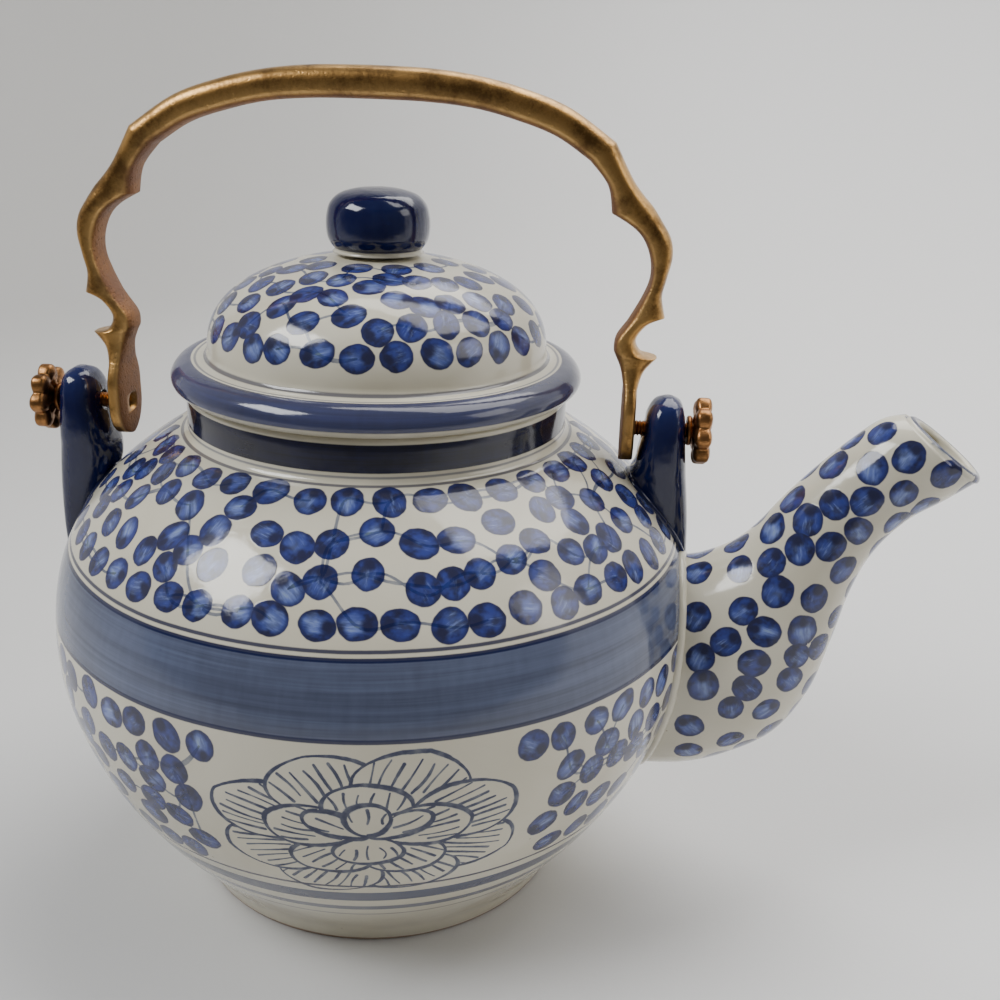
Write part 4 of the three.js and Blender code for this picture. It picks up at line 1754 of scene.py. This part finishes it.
    def build(self) -> None:
        """Builds, drills, paints and seats the body."""
        piece = turned("pot_glazed_body", self._profile(), self._azimuths())
        turn = Spout.yaw
        reach = self.strainer_reach
        place = Vector((AXIS_X + reach * math.cos(turn), reach * math.sin(turn), self.strainer_height)) * MM
        drills = self.growth.make(
            "strainer_drills",
            self.growth.drills,
            {
                "Pitch": self.strainer_pitch * MM,
                "Radius": self.strainer_radius * MM,
                "Depth": self.strainer_depth * MM,
                "Middle": tuple(place),
                "Turn": (0.0, 0.0, turn),
            },
        )
        carve(piece, drills)
        shade_smooth(piece.data)
        self._paint(piece)
        bands = (
            Band(Measure.HEIGHT, -1.0, 0.9, Tint.BARE_CLAY, 0.85, 0.35),
            Band(Measure.HEIGHT, 17.0, 17.8, Tint.SLATE, 0.5),
            Band(Measure.HEIGHT, 20.7, 22.9, Tint.SLATE, 0.82),
            Band(Measure.HEIGHT, 26.1, 30.4, Tint.WASH_DARK, 0.92, 0.12, Tint.SLATE),
            Band(Measure.HEIGHT, 33.1, 33.9, Tint.INK, 0.95),
            Band(Measure.HEIGHT, 75.6, 91.3, Tint.WASH_DARK, 0.93, 0.1, Tint.WASH_LIGHT),
            Band(Measure.HEIGHT, 75.0, 76.0, Tint.INK, 0.96),
            Band(Measure.HEIGHT, 90.9, 91.8, Tint.INK, 0.96),
            Band(Measure.HEIGHT, 92.5, 93.2, Tint.INK, 0.9),
            Band(Measure.RADIUS, 46.6, 47.4, Tint.INK, 0.75, 0.1, None, 110.0),
            Band(Measure.HEIGHT, 118.6, 119.1, Tint.SLATE, 0.6),
            Band(Measure.HEIGHT, 119.8, 126.0, Tint.GLAZE_BLACK, 0.98, 0.08, Tint.NAVY),
        )
        finish_piece(
            piece,
            PaintedGlaze("painted_body", bands).material(self.box),
            "pot",
            ["pot_body"],
        )


@dataclass
class Spout:
    """The luted spout, with its dotted painting and the bead of glaze round its root."""

    box: PaintBox
    growth: Growth
    body: PotBody
    yaw: float = math.radians(-5)
    wall: float = 3.0
    low: tuple[tuple[float, float], ...] = (
        (64, 31.6),
        (80, 33.2),
        (92, 37.6),
        (103, 45.2),
        (110.3, 57.5),
        (114, 71.5),
        (116.8, 85),
        (120.6, 95.3),
        (127, 104),
        (135.3, 110.3),
        (142.3, 116),
    )
    high: tuple[tuple[float, float], ...] = (
        (62, 88),
        (76.6, 88.6),
        (83.5, 90.8),
        (89.5, 94.6),
        (94, 99.5),
        (98, 105.2),
        (102, 110.3),
        (106.5, 115.5),
        (112.5, 121.8),
        (118.8, 127.2),
        (124.8, 128.8),
    )
    half: tuple[float, ...] = (19, 19.4, 18.6, 17.4, 15.6, 13.8, 12.4, 11.5, 11, 10.8, 10.4)
    columns: int = 96
    rows: int = 110
    edge_points: int = 160  # round the lip's line, and round the bead at the root

    def points(self, t: np.ndarray, angle: np.ndarray, inset: float, push: object = 0.0) -> np.ndarray:
        """Places on the spout's skin.

        Args:
            t: From 0 at the root to 1 at the mouth.
            angle: Round the section, from its upper edge.
            inset: How far inside the outer skin.
            push: How far past the section, towards the mouth.

        Returns:
            Millimetre places measured from the pot's axis.
        """
        low, high = spline(self.low, t), spline(self.high, t)
        half = spline(self.half, t)[..., 0] - inset
        span = np.linalg.norm(high - low, axis=-1)
        up = (high - low) / span[..., None]
        reach = span / 2 - inset
        centre = (low + high) / 2
        x = centre[..., 0] + up[..., 0] * reach * np.cos(angle) + up[..., 1] * push
        z = centre[..., 1] + up[..., 1] * reach * np.cos(angle) - up[..., 0] * push
        y = half * np.sin(angle)
        turn_cos, turn_sin = math.cos(self.yaw), math.sin(self.yaw)
        return np.stack([x * turn_cos - y * turn_sin, x * turn_sin + y * turn_cos, z], axis=-1)

    def _root(self, angles: np.ndarray, inset: float, sunk: float) -> np.ndarray:
        """For each angle, the t at which the skin leaves the belly, less how deep it is sunk."""
        t = np.linspace(0, 0.5, 500)[:, None] * np.ones(len(angles))
        places = self.points(t, np.broadcast_to(angles, t.shape), inset)
        outside = np.hypot(places[..., 0], places[..., 1]) - self.body.radius_at(places[..., 2]) + sunk
        last_inside = 499 - np.argmax(outside[::-1] < 0, axis=0)
        return t[np.minimum(last_inside + 1, 499), 0]

    def _rings(self, angles: np.ndarray) -> np.ndarray:
        """Rings from the root along the outside, round the lip and back down the channel."""
        share = np.linspace(0, 1, self.rows)[:, None]
        sunk = 1.2
        outer_start = self._root(angles, 0.0, sunk)
        inner_start = self._root(angles, self.wall, sunk)
        end = 0.97
        broad = np.broadcast_to(angles, (self.rows, len(angles)))
        outer = self.points(outer_start + (end - outer_start) * share, broad, 0.0)
        inner = self.points(inner_start + (end - inner_start) * share[::-1], broad, self.wall)
        lip = []
        for turn in np.linspace(0, math.pi, 9):
            inset = self.wall / 2 * (1 - math.cos(turn))
            push = -self.wall / 2 * (1 - math.sin(turn))
            lip.append(self.points(np.ones(len(angles)), angles, inset, push))
        return np.concatenate([outer, np.stack(lip), inner[::3]])

    def _paint(self, piece: bpy.types.Object, angles: np.ndarray) -> None:
        """Scatters close-set round dots over the skin, clear of the root and the lip."""
        chance = np.random.default_rng(7)
        brush = Brushwork()
        start = self._root(angles, 0.0, 0.0) + 0.035
        kept: list[np.ndarray] = []
        dart_count = 3000
        for gap in np.repeat((8.0, 7.4, 6.9, 6.5), dart_count):
            column = int(chance.integers(len(angles)))
            t = float(chance.uniform(start[column], 0.965))
            place = self.points(np.array(t), angles[column], 0.0)
            if kept and np.linalg.norm(np.array(kept) - place, axis=1).min() < gap:
                continue
            kept.append(place)
            ahead = unit(self.points(np.array(t + 0.01), angles[column], 0.0) - place)
            side = unit(self.points(np.array(t), angles[column] + 0.02, 0.0) - place)
            normal = unit(np.cross(side, ahead))
            outward = place - self.points(np.array(t), angles[column], 4.0)
            normal = normal if float(normal @ outward) > 0 else -normal
            lean = chance.normal(-0.9, 0.7)
            direction = unit(math.cos(lean) * unit(np.cross(ahead, normal)) + math.sin(lean) * ahead)
            size = 3.75 * chance.uniform(0.90, 1.10)
            brush.dab(place, normal, direction, (size * 1.06, size * 0.96), float(chance.beta(1.4, 1.9)))
        count = self.edge_points
        lip_angles = around(count)
        lip_inset = self.wall * 0.4
        lip = self.points(np.ones(count), lip_angles, lip_inset, -0.1)
        closed = np.vstack([lip, lip[:2]])
        wrapped = lip_angles[np.arange(len(closed)) % count]
        forward = unit(closed - self.points(np.full(len(closed), 0.9), wrapped, lip_inset))
        brush.line(closed, forward, np.full(len(closed), 0.75), 0.97)
        brush.paint(piece, AXIS_X)

    def build(self) -> None:
        """Builds the spout and its bead."""
        angles = around(self.columns)
        piece = loft("spout_glazed", self._rings(angles), AXIS_X, looped=True)
        self._paint(piece, angles)
        finish_piece(
            piece, PaintedGlaze("painted_spout").material(self.box), "pot", ["spout"]
        )
        path_angles = around(self.edge_points)
        path = self.points(self._root(path_angles, 0.0, 0.1), path_angles, 0.35)
        bead = self.growth.make(
            "spout_root_bead",
            self.growth.bead,
            {"Radius": 1.5 * MM, "Sides": 16},
            path_mesh("spout_root_path", path, AXIS_X, True),
        )
        finish_piece(
            bead, PaintedGlaze("plain_bead", brushed=False).material(self.box), "pot"
        )


@dataclass
class Lug:
    """One of the two glazed ears that carry the bail."""

    box: PaintBox
    growth: Growth
    body: PotBody
    side: Side
    bore: float = 2.5
    squareness: float = 0.75
    columns: int = 64
    # Height, inner face, outer face and half width, from the tip on the belly to the rounded top.
    stations: tuple[tuple[float, float, float, float], ...] = (
        (80, 75.8, 79.4, 1.6),
        (87, 72.5, 79.2, 3.6),
        (96, 67.5, 78.7, 5.6),
        (103, 64, 78, 7),
        (108, 63.6, 77.4, 7.6),
        (111, 64.7, 77.1, 8),
        (114, 65.2, 76.8, 8.1),
        (119.2, 66.3, 76.2, 7.9),
        (123, 66.7, 75.9, 7.0),
        (126, 68.2, 74.9, 5.2),
        (127.4, 70.4, 72.9, 1.9),
    )

    def _sections(self, heights: np.ndarray) -> np.ndarray:
        """The inner face, outer face and half width at each height."""
        table = spline(self.stations, np.linspace(0, 1, 600))
        return np.stack([np.interp(heights, table[:, 0], table[:, k]) for k in (1, 2, 3)], axis=1)

    def _ring(self, height: float, angles: np.ndarray) -> np.ndarray:
        """One squared-off section, measured from the middle between the lugs."""
        inner, outer, half = self._sections(np.array([height]))[0]

        def squared(value: np.ndarray) -> np.ndarray:
            """Pushes a circle's coordinate out towards a square."""
            return np.sign(value) * np.abs(value) ** self.squareness

        out = (inner + outer) / 2 + self.side.lug_out + (outer - inner) / 2 * squared(np.cos(angles))
        return np.stack(
            [self.side.sign * out, half * squared(np.sin(angles)), np.full(len(angles), height)], axis=1
        )

    def _seated(self, ring: np.ndarray, sunk: float) -> np.ndarray:
        """Moves points that are deep inside the belly out to just under its skin."""
        shift = CARRIER_X - AXIS_X
        x, y = ring[:, 0] + shift, ring[:, 1]
        reach = np.hypot(x, y)
        floor = self.body.radius_at(ring[:, 2]) - sunk
        grow = np.where(ring[:, 2] < 117, np.maximum(1.0, floor / reach), 1.0)
        return np.stack([x * grow - shift, y * grow, ring[:, 2]], axis=1)

    def _root_path(self) -> np.ndarray:
        """The line on which the lug meets the belly, up one side and down the other."""
        shift = CARRIER_X - AXIS_X
        angles = np.linspace(0, math.pi, 240)
        left = []
        for height in np.linspace(82, 108, 90):
            ring = self._ring(height, angles)
            outside = np.hypot(ring[:, 0] + shift, ring[:, 1]) - float(self.body.radius_at(np.array(height)))
            inside = np.flatnonzero(outside < 0)
            if len(inside) == 0 or inside[0] == 0:
                continue
            left.append(ring[inside[0]])
        left = np.array(left)
        return np.vstack([left, (left * (1, -1, 1))[::-1]])

    def build(self) -> None:
        """Builds the lug with its bore, and the bead round its root."""
        heights = np.concatenate(
            [np.linspace(80, 120, 66), 120 + 7.4 * np.sin(np.linspace(0, math.pi / 2, 26)[1:])]
        )
        angles = around(self.columns)
        rings = np.stack([self._seated(self._ring(height, angles), 1.4) for height in heights])
        poles = [rings[0].mean(axis=0), rings[-1].mean(axis=0)]
        name = f"lug_{self.side.label}"
        piece = loft(f"{name}_glazed", rings, CARRIER_X, poles)
        centre = (CARRIER_X + self.side.sign * 72, 0, PIVOT_Z)
        carve(piece, round_bar("lug_drill", self.bore, centre, 40))
        shade_smooth(piece.data)
        glaze = NavyGlaze(f"navy_{name}", CARRIER_X, 118.0, 127.0).material(self.box)
        finish_piece(piece, glaze, "pot", [name])
        bead = self.growth.make(
            f"{name}_root_bead",
            self.growth.bead,
            {"Radius": 1.1 * MM, "Sides": 12},
            path_mesh(f"{name}_path", self._root_path(), CARRIER_X, True),
        )
        finish_piece(bead, glaze, "pot")


# ---------------------------------------------------------------- the lid


@dataclass
class Lid:
    """The loose lid: a high dome, a rolled rim and a deep flange, with its round knob."""

    box: PaintBox
    dome_radius: float = 40.3
    dome_base: float = 136.0
    dome_height: float = 22.5
    dome_power: float = 2.5
    wall: float = 4.0
    seat: float = 127.6
    flange_radius: float = 39.9
    flange_thickness: float = 3.4
    flange_bottom: float = 119.0
    vent_radius: float = 1.5
    vent_y: float = 24.0
    knob_radius: float = 12.1
    knob_foot: float = 158.8
    knob_top: float = 173.4
    columns: int = 320

    def _dome(self, inset: float, step: float) -> np.ndarray:
        """Dome points from its top to its base, for an inset surface."""
        reach = self.dome_height - inset
        height = reach * np.cos(np.linspace(0, math.pi / 2, 600)) ** 0.8
        share = np.minimum(1, height / reach)
        radius = (self.dome_radius - inset) * np.sqrt(1 - share**self.dome_power)
        fine = np.stack([radius, self.dome_base + height], axis=1)
        total = lengths_along(fine)[-1]
        return resample(fine, np.linspace(0, total, round(total / step)))

    def _profile(self) -> np.ndarray:
        """The closed profile, from the dome's top round the rim and flange to the hollow's top."""
        rim = [
            (40.9, 135.1),
            (42.2, 134.6),
            (45, 134.5),
            (47.4, 133.4),
            (48.8, 131.2),
            (48.5, 129.2),
            (46.9, 127.9),
        ]
        outer = np.vstack([self._dome(0.0, 0.85), evenly(rim, 0.7), [[46.0, self.seat], [41.0, self.seat]]])
        inner_radius = self.flange_radius - self.flange_thickness
        flange = [
            [self.flange_radius + 0.3, self.seat],
            [self.flange_radius, self.seat - 0.5],
            [self.flange_radius, self.flange_bottom + 0.8],
            [self.flange_radius - 0.8, self.flange_bottom],
            [inner_radius + 0.8, self.flange_bottom],
            [inner_radius, self.flange_bottom + 0.8],
            [inner_radius, 131.0],
        ]
        return np.vstack([outer, straight(flange, 2.0), self._dome(self.wall, 2.5)[::-1]])

    def _paint(self, piece: bpy.types.Object) -> None:
        """Lays the dome's berries and vines."""
        brush = Brushwork()
        surface = TurnedSurface(self._dome(0.0, 0.4)[::-1])
        total = surface.along[-1]
        rows = BerryRows(7.4, total - 15.5, 8.6, 3.7, 1.25, 31, 28)
        rows.lay(surface, brush, lambda azimuth, along: 5.0 < along < total - 13.0)
        brush.paint(piece, AXIS_X)

    def _build_knob(self) -> None:
        """The squashed ball on its small cream collar."""
        foot = self.knob_foot
        shape = [
            (10.7, foot + 0.1),
            (10.2, foot + 0.6),
            (10.3, foot + 1.1),
            (11.1, foot + 2.0),
            (11.8, foot + 3.6),
            (self.knob_radius - 0.02, foot + 6.0),
            (11.9, foot + 8.6),
            (11.1, foot + 11.1),
            (9.0, foot + 13.1),
            (5.5, foot + 14.2),
            (2.4, foot + 14.55),
        ]
        curve = evenly(shape, 0.45)
        profile = np.vstack([[[0, foot], [10.0, foot]], curve, [[0, self.knob_top]]])
        knob = turned("lid_knob_glazed", profile, around(120))
        glaze = NavyGlaze("navy_knob", AXIS_X, self.knob_top + 4, self.knob_top + 9, foot + 1.0).material(
            self.box
        )
        finish_piece(knob, glaze, "lid", ["lid_knob"])

    def build(self) -> None:
        """Builds, vents, paints and seats the lid and its knob."""
        piece = turned("lid_glazed", self._profile(), around(self.columns))
        height = self.dome_base + self.dome_height - 6
        drill = round_bar("vent_drill", self.vent_radius, (0, 0, 0), 24)
        lean = Matrix.Translation(Vector((AXIS_X, self.vent_y, height)) * MM) @ Matrix.Rotation(
            math.pi / 2, 4, "Y"
        )
        drill.data.transform(lean)
        carve(piece, drill)
        shade_smooth(piece.data)
        self._paint(piece)
        bands = (
            Band(Measure.RADIUS, 40.55, 41.25, Tint.INK, 0.75, 0.08, None, 134.0),
            Band(Measure.RADIUS, 42.9, 43.5, Tint.SLATE, 0.65, 0.08, None, 134.0),
            Band(Measure.RADIUS, 44.1, 52.0, Tint.RIM_DARK, 0.95, 0.1, Tint.RIM_LIGHT, 129.3),
        )
        finish_piece(
            piece, PaintedGlaze("painted_lid", bands).material(self.box), "lid", ["lid"]
        )
        self._build_knob()


# ---------------------------------------------------------------- the brass


@dataclass
class Bail:
    """The cast handle: a D-section bar with spurs on its arms and a flat paddle at each end."""

    box: PaintBox
    half_width: float = 4.7
    paddle_inner: float = 60.6
    paddle_outer: float = 64.0
    paddle_radius: float = 7.9
    bore: float = 2.2
    columns: int = 44
    # Each run lists the outer edge and the inner edge, outwards and upwards from the pivot's middle.
    runs: tuple[tuple[tuple[float, float, float, float], ...], ...] = (
        (
            (0, 199.8, 0, 192.6),
            (13, 199.5, 12.5, 192.4),
            (24, 198.3, 23.5, 191.4),
            (34.5, 195.9, 33, 189.2),
            (45, 192.1, 42, 186.1),
            (55.5, 185.2, 49.8, 181.2),
        ),
        ((55.5, 185.2, 49.8, 181.2), (60.2, 176.8, 54.1, 176.0), (64.9, 171.4, 55.4, 169.9)),
        (
            (64.9, 171.4, 55.4, 169.9),
            (67.0, 168.4, 60.4, 167.0),
            (69.3, 164.6, 63.2, 164.0),
            (69.9, 160.5, 64.9, 159.6),
            (68.9, 155.4, 65.1, 155.2),
            (68.2, 151.4, 63.7, 151.0),
            (69.2, 146.6, 61.4, 146.6),
        ),
        (
            (69.2, 146.6, 61.4, 146.6),
            (65.4, 144.9, 60.3, 144.6),
            (62.9, 141.2, 58.2, 141.4),
            (64.4, 137.9, 57.8, 138.7),
            (68.1, 136.9, 58.2, 137.4),
        ),
        ((68.1, 136.9, 58.2, 137.4), (65.3, 133.6, 59.7, 134.0), (64.0, 129.6, 60.6, 129.6)),
    )

    def _stations(self) -> np.ndarray:
        """Outer edge, inner edge, half width and flatness, from the crown to the paddle's end."""
        rows = []
        for run in self.runs:
            fine = spline(run, np.linspace(0, 1, 14 * len(run)))
            step = fine if not rows else fine[1:]
            rows.append(step)
        bar = np.vstack(rows)
        drop = np.concatenate(
            [
                np.linspace(129.0, PIVOT_Z, 24),
                PIVOT_Z - self.paddle_radius * np.sin(np.linspace(0, math.pi / 2, 30)[1:-1]),
            ]
        )
        plate = np.column_stack(
            [np.full(len(drop), self.paddle_outer), drop, np.full(len(drop), self.paddle_inner), drop]
        )
        edges = np.vstack([bar, plate])
        height = edges[:, 1]
        neck, shoulder = 135.0, PIVOT_Z + 5.0
        widen = np.clip((neck - height) / (neck - shoulder), 0, 1)
        widen = widen * widen * (3 - 2 * widen)
        below = np.sqrt(np.maximum(0.02, 1 - np.clip((PIVOT_Z - height) / self.paddle_radius, 0, 1) ** 2))
        half = (self.half_width + (self.paddle_radius - self.half_width) * widen) * below
        return np.column_stack([edges, half, widen])

    def _ring(self, station: np.ndarray, angles: np.ndarray, sign: int) -> np.ndarray:
        """One section: rounded outside and flat inside on the bar, square-edged on the paddle."""
        outer, inner = station[0:2], station[2:4]
        half, flat = station[4], station[5]
        towards = np.cos(angles)
        rounding = np.where(towards > 0, 0.92 - 0.5 * flat, 0.42)
        depth = np.sign(towards) * np.abs(towards) ** rounding
        sideways = np.sign(np.sin(angles)) * np.abs(np.sin(angles)) ** (0.72 - 0.3 * flat)
        middle_line = (outer + inner) / 2
        reach = (outer - inner) / 2
        x = middle_line[0] + reach[0] * depth
        z = middle_line[1] + reach[1] * depth
        return np.stack([sign * x, half * sideways, z], axis=1)

    def _marks(self, piece: bpy.types.Object, rings: int, angles: np.ndarray) -> None:
        """Writes where the casting is worn bright, with a sheen painted along its outer face, and where it
        was left rough.
        """
        towards = np.tile(np.cos(angles), rings)
        across = np.abs(np.tile(np.sin(angles), rings))
        inward = np.clip(-towards * 1.6, 0, 1)
        edge = np.exp(-(((towards + 0.30) / 0.22) ** 2)) * across
        # Painted sheen: the outer face is painted brighter, as if lit from above, on top of the rubbing at
        # the edges.
        crown = np.clip(towards, 0, 1) ** 3 * 0.75
        for name, values in (("rough_side", inward), ("rubbed_and_sheen", np.clip(edge + crown, 0, 1))):
            attribute = piece.data.attributes.new(name, "FLOAT", "POINT")
            full = np.concatenate([values, [0.0, 0.0]])
            attribute.data.foreach_set("value", full.astype(np.float32))

    def build(self) -> None:
        """Builds the bail with its bored paddles."""
        stations = self._stations()
        angles = around(self.columns)
        front = [self._ring(station, angles, 1) for station in stations[::-1]]
        rear = [self._ring(station, angles, -1) for station in stations[1:]]
        rings = np.stack(front + rear)
        chance = np.random.default_rng(3)
        waves = sum(
            np.sin(
                rings[..., 0] * chance.uniform(0.2, 0.5)
                + rings[..., 2] * chance.uniform(0.2, 0.5)
                + chance.uniform(0, 6)
            )
            for _ in range(4)
        )
        bar = rings[..., 2] > 130
        rings[..., 1] *= np.where(bar, 1 - 0.012 * (1 + waves / 4), 1.0)
        end = PIVOT_Z - self.paddle_radius
        side_middle = (self.paddle_inner + self.paddle_outer) / 2
        poles = [np.array([sign * side_middle, 0, end]) for sign in (1, -1)]
        piece = loft("bail_cast", rings, CARRIER_X, poles)
        self._marks(piece, len(rings), angles)
        for sign in (1, -1):
            centre = (CARRIER_X + sign * side_middle, 0, PIVOT_Z)
            carve(piece, round_bar("paddle_drill", self.bore, centre, 20))
        brass = AgedBrass("aged_brass_bail").material(self.box)
        finish_piece(piece, brass, "bail", ["bail_handle"])


@dataclass
class ThumbScrew:
    """One pivot screw: a threaded stud, a dark collar and a cast flower head."""

    box: PaintBox
    growth: Growth
    side: Side
    stud_radius: float = 1.9
    stud_inner: float = 60.9
    stud_outer: float = 80.6
    thread_pitch: float = 0.8
    washer_inner: float = 76.6
    washer_thickness: float = 1.1
    washer_radius: float = 3.6
    washer_bore: float = 2.25
    head_gap: float = 0.3
    head_radius: float = 8.3
    head_valley: float = 6.9
    head_thickness: float = 4.4

    def _place(self, outwards: float) -> Vector:
        """A place on the pivot line, in metres."""
        return Vector((CARRIER_X + self.side.sign * (outwards + self.side.screw_out), 0, PIVOT_Z)) * MM

    def _washer(self) -> bpy.types.Object:
        """The collar between the lug and the head."""
        start, end = self.washer_inner, self.washer_inner + self.washer_thickness
        soft = 0.25
        section = [
            (self.washer_bore, start),
            (self.washer_radius - soft, start),
            (self.washer_radius, start + soft),
            (self.washer_radius, end - soft),
            (self.washer_radius - soft, end),
            (self.washer_bore, end),
        ]
        angles = around(64)
        rings = np.stack(
            [
                np.stack(
                    [
                        np.full(64, self.side.sign * (out + self.side.screw_out)),
                        radius * np.cos(angles),
                        PIVOT_Z + radius * np.sin(angles),
                    ],
                    axis=1,
                )
                for radius, out in section
            ]
        )
        return loft(f"screw_collar_{self.side.label}", rings, CARRIER_X, looped=True)

    def build(self) -> None:
        """Builds the three pieces of the screw."""
        brass = AgedBrass(f"aged_brass_screw_{self.side.label}", Tint.BRASS_COPPERY, 0.18).material(self.box)
        dull = AgedBrass(f"dull_brass_{self.side.label}", Tint.BRASS_COPPERY).material(self.box)
        length = self.stud_outer - self.stud_inner
        stud = self.growth.make(
            f"screw_thread_{self.side.label}",
            self.growth.thread,
            {
                "Radius": self.stud_radius * MM,
                "Ridge": 0.28 * MM,
                "Turns": length * 0.92 / self.thread_pitch,
                "Length": length * MM,
                "Middle": tuple(self._place((self.stud_inner + self.stud_outer) / 2)),
                "Material": dull,
            },
        )
        body = f"screw_{self.side.label}"
        finish_piece(stud, dull, body, [f"screw_stud_{self.side.label}"])
        washer = self._washer()
        finish_piece(
            washer, dull, f"washer_{self.side.label}", [f"screw_washer_{self.side.label}"]
        )
        back = self.washer_inner + self.washer_thickness + self.head_gap
        head = self.growth.make(
            f"rosette_cast_{self.side.label}",
            self.growth.flower_head,
            {
                "Radius": self.head_radius * MM,
                "Valley": self.head_valley * MM,
                "Lobes": 8.0,
                "Thickness": self.head_thickness * MM,
                "Middle": tuple(self._place(back + self.head_thickness / 2)),
                "Facing": (0.0, self.side.sign * math.pi / 2, 0.0),
                "Material": brass,
            },
        )
        finish_piece(head, brass, body, [f"rosette_{self.side.label}"])


# ---------------------------------------------------------------- the studio


@dataclass
class Studio:
    """The camera, the pale sheet and the soft light."""

    azimuth: float = math.radians(-86)
    elevation: float = math.radians(20.76)
    roll: float = math.radians(1.9)
    distance: float = 298.74
    lens: float = 42.62
    aim: tuple[float, float, float] = (30.28, 2.12, 97.62)

    def camera(self) -> None:
        """Makes the camera."""
        target = Vector((AXIS_X + self.aim[0], self.aim[1], self.aim[2])) * MM
        back = Vector(
            (
                math.cos(self.elevation) * math.cos(self.azimuth),
                math.cos(self.elevation) * math.sin(self.azimuth),
                math.sin(self.elevation),
            )
        )
        data = bpy.data.cameras.new("camera")
        data.lens = self.lens
        data.sensor_width = 36.0
        data.clip_start = 0.01
        camera = bpy.data.objects.new("camera", data)
        bpy.context.collection.objects.link(camera)
        turn = (-back).to_track_quat("-Z", "Y").to_matrix().to_4x4()
        turn = turn @ Matrix.Rotation(self.roll, 4, "Z")
        camera.matrix_world = Matrix.Translation(target + back * self.distance * MM) @ turn
        bpy.context.scene.camera = camera

    def sheet(self) -> None:
        """Lays the sheet, a wide round one that curves up on every side."""
        flat, bend, top = 0.75, 0.45, 1.6
        turns = np.linspace(0, math.pi / 2, 24)
        radius = np.concatenate([(0.05, 0.3, 0.55), flat + bend * np.sin(turns), (flat + bend,)])
        height = np.concatenate([(0.0, 0.0, 0.0), bend * (1 - np.cos(turns)), (top,)])
        angles = around(96)
        rings = np.empty((len(radius), len(angles), 3))
        rings[..., 0] = radius[:, None] * np.cos(angles)
        rings[..., 1] = radius[:, None] * np.sin(angles)
        rings[..., 2] = height[:, None]
        count = len(angles)
        faces = [list(range(count))]
        for row in range(len(radius) - 1):
            for k in range(count):
                beside = (k + 1) % count
                low, high = row * count, (row + 1) * count
                faces.append([low + k, high + k, high + beside, low + beside])
        mesh = bpy.data.meshes.new("pale_sheet")
        mesh.from_pydata(rings.reshape(-1, 3).tolist(), [], faces)
        shade_smooth(mesh)
        mesh.materials.append(SheetFinish().material())
        floor = bpy.data.objects.new("pale_sheet", mesh)
        bpy.context.collection.objects.link(floor)

    @staticmethod
    def _panel(
        name: str,
        place: Sequence[float],
        aim: Sequence[float],
        size: tuple[float, float],
        power: float,
        tint: Sequence[float],
    ) -> None:
        """Adds one soft rectangular light."""
        data = bpy.data.lights.new(name, "AREA")
        data.shape = "RECTANGLE"
        data.size, data.size_y = size
        data.energy = power
        data.color = tint
        light = bpy.data.objects.new(name, data)
        bpy.context.collection.objects.link(light)
        light.location = place
        light.rotation_mode = "QUATERNION"
        light.rotation_quaternion = (Vector(aim) - Vector(place)).to_track_quat("-Z", "Y")

    def lights(self) -> None:
        """Sets the window, the overhead fill and the room's own light."""
        middle_of_pot = (AXIS_X * MM, 0.0, 0.09)
        self._panel("window", (-0.62, -0.30, 0.78), middle_of_pot, (0.46, 0.34), 7.5, (0.96, 0.98, 1.0))
        self._panel("overhead", (0.45, 0.55, 1.30), (0.12, 0.1, 0.05), (1.4, 1.1), 25.0, (1.0, 0.99, 0.97))
        self._panel("room_right", (1.1, -0.25, 0.65), middle_of_pot, (0.5, 0.7), 3.0, (1.0, 0.98, 0.95))
        world = bpy.data.worlds.new("soft_room")
        world.use_nodes = True
        back = world.node_tree.nodes["Background"]
        back.inputs["Color"].default_value = (0.93, 0.95, 1.0, 1.0)
        back.inputs["Strength"].default_value = 0.15
        bpy.context.scene.world = world

    def build(self) -> None:
        """Builds the whole stage."""
        self.camera()
        self.sheet()
        self.lights()


def main() -> None:
    """Builds the studio and then the teapot, one sub-assembly at a time."""
    logging.basicConfig(level=logging.INFO, format="%(name)s: %(message)s")
    Studio().build()
    box = PaintBox()
    growth = Growth()
    body = PotBody(box, growth)
    body.build()
    Spout(box, growth, body).build()
    for side in Side:
        Lug(box, growth, body, side).build()
    Lid(box).build()
    Bail(box).build()
    for side in Side:
        ThumbScrew(box, growth, side).build()


if __name__ == "__main__":
    main()
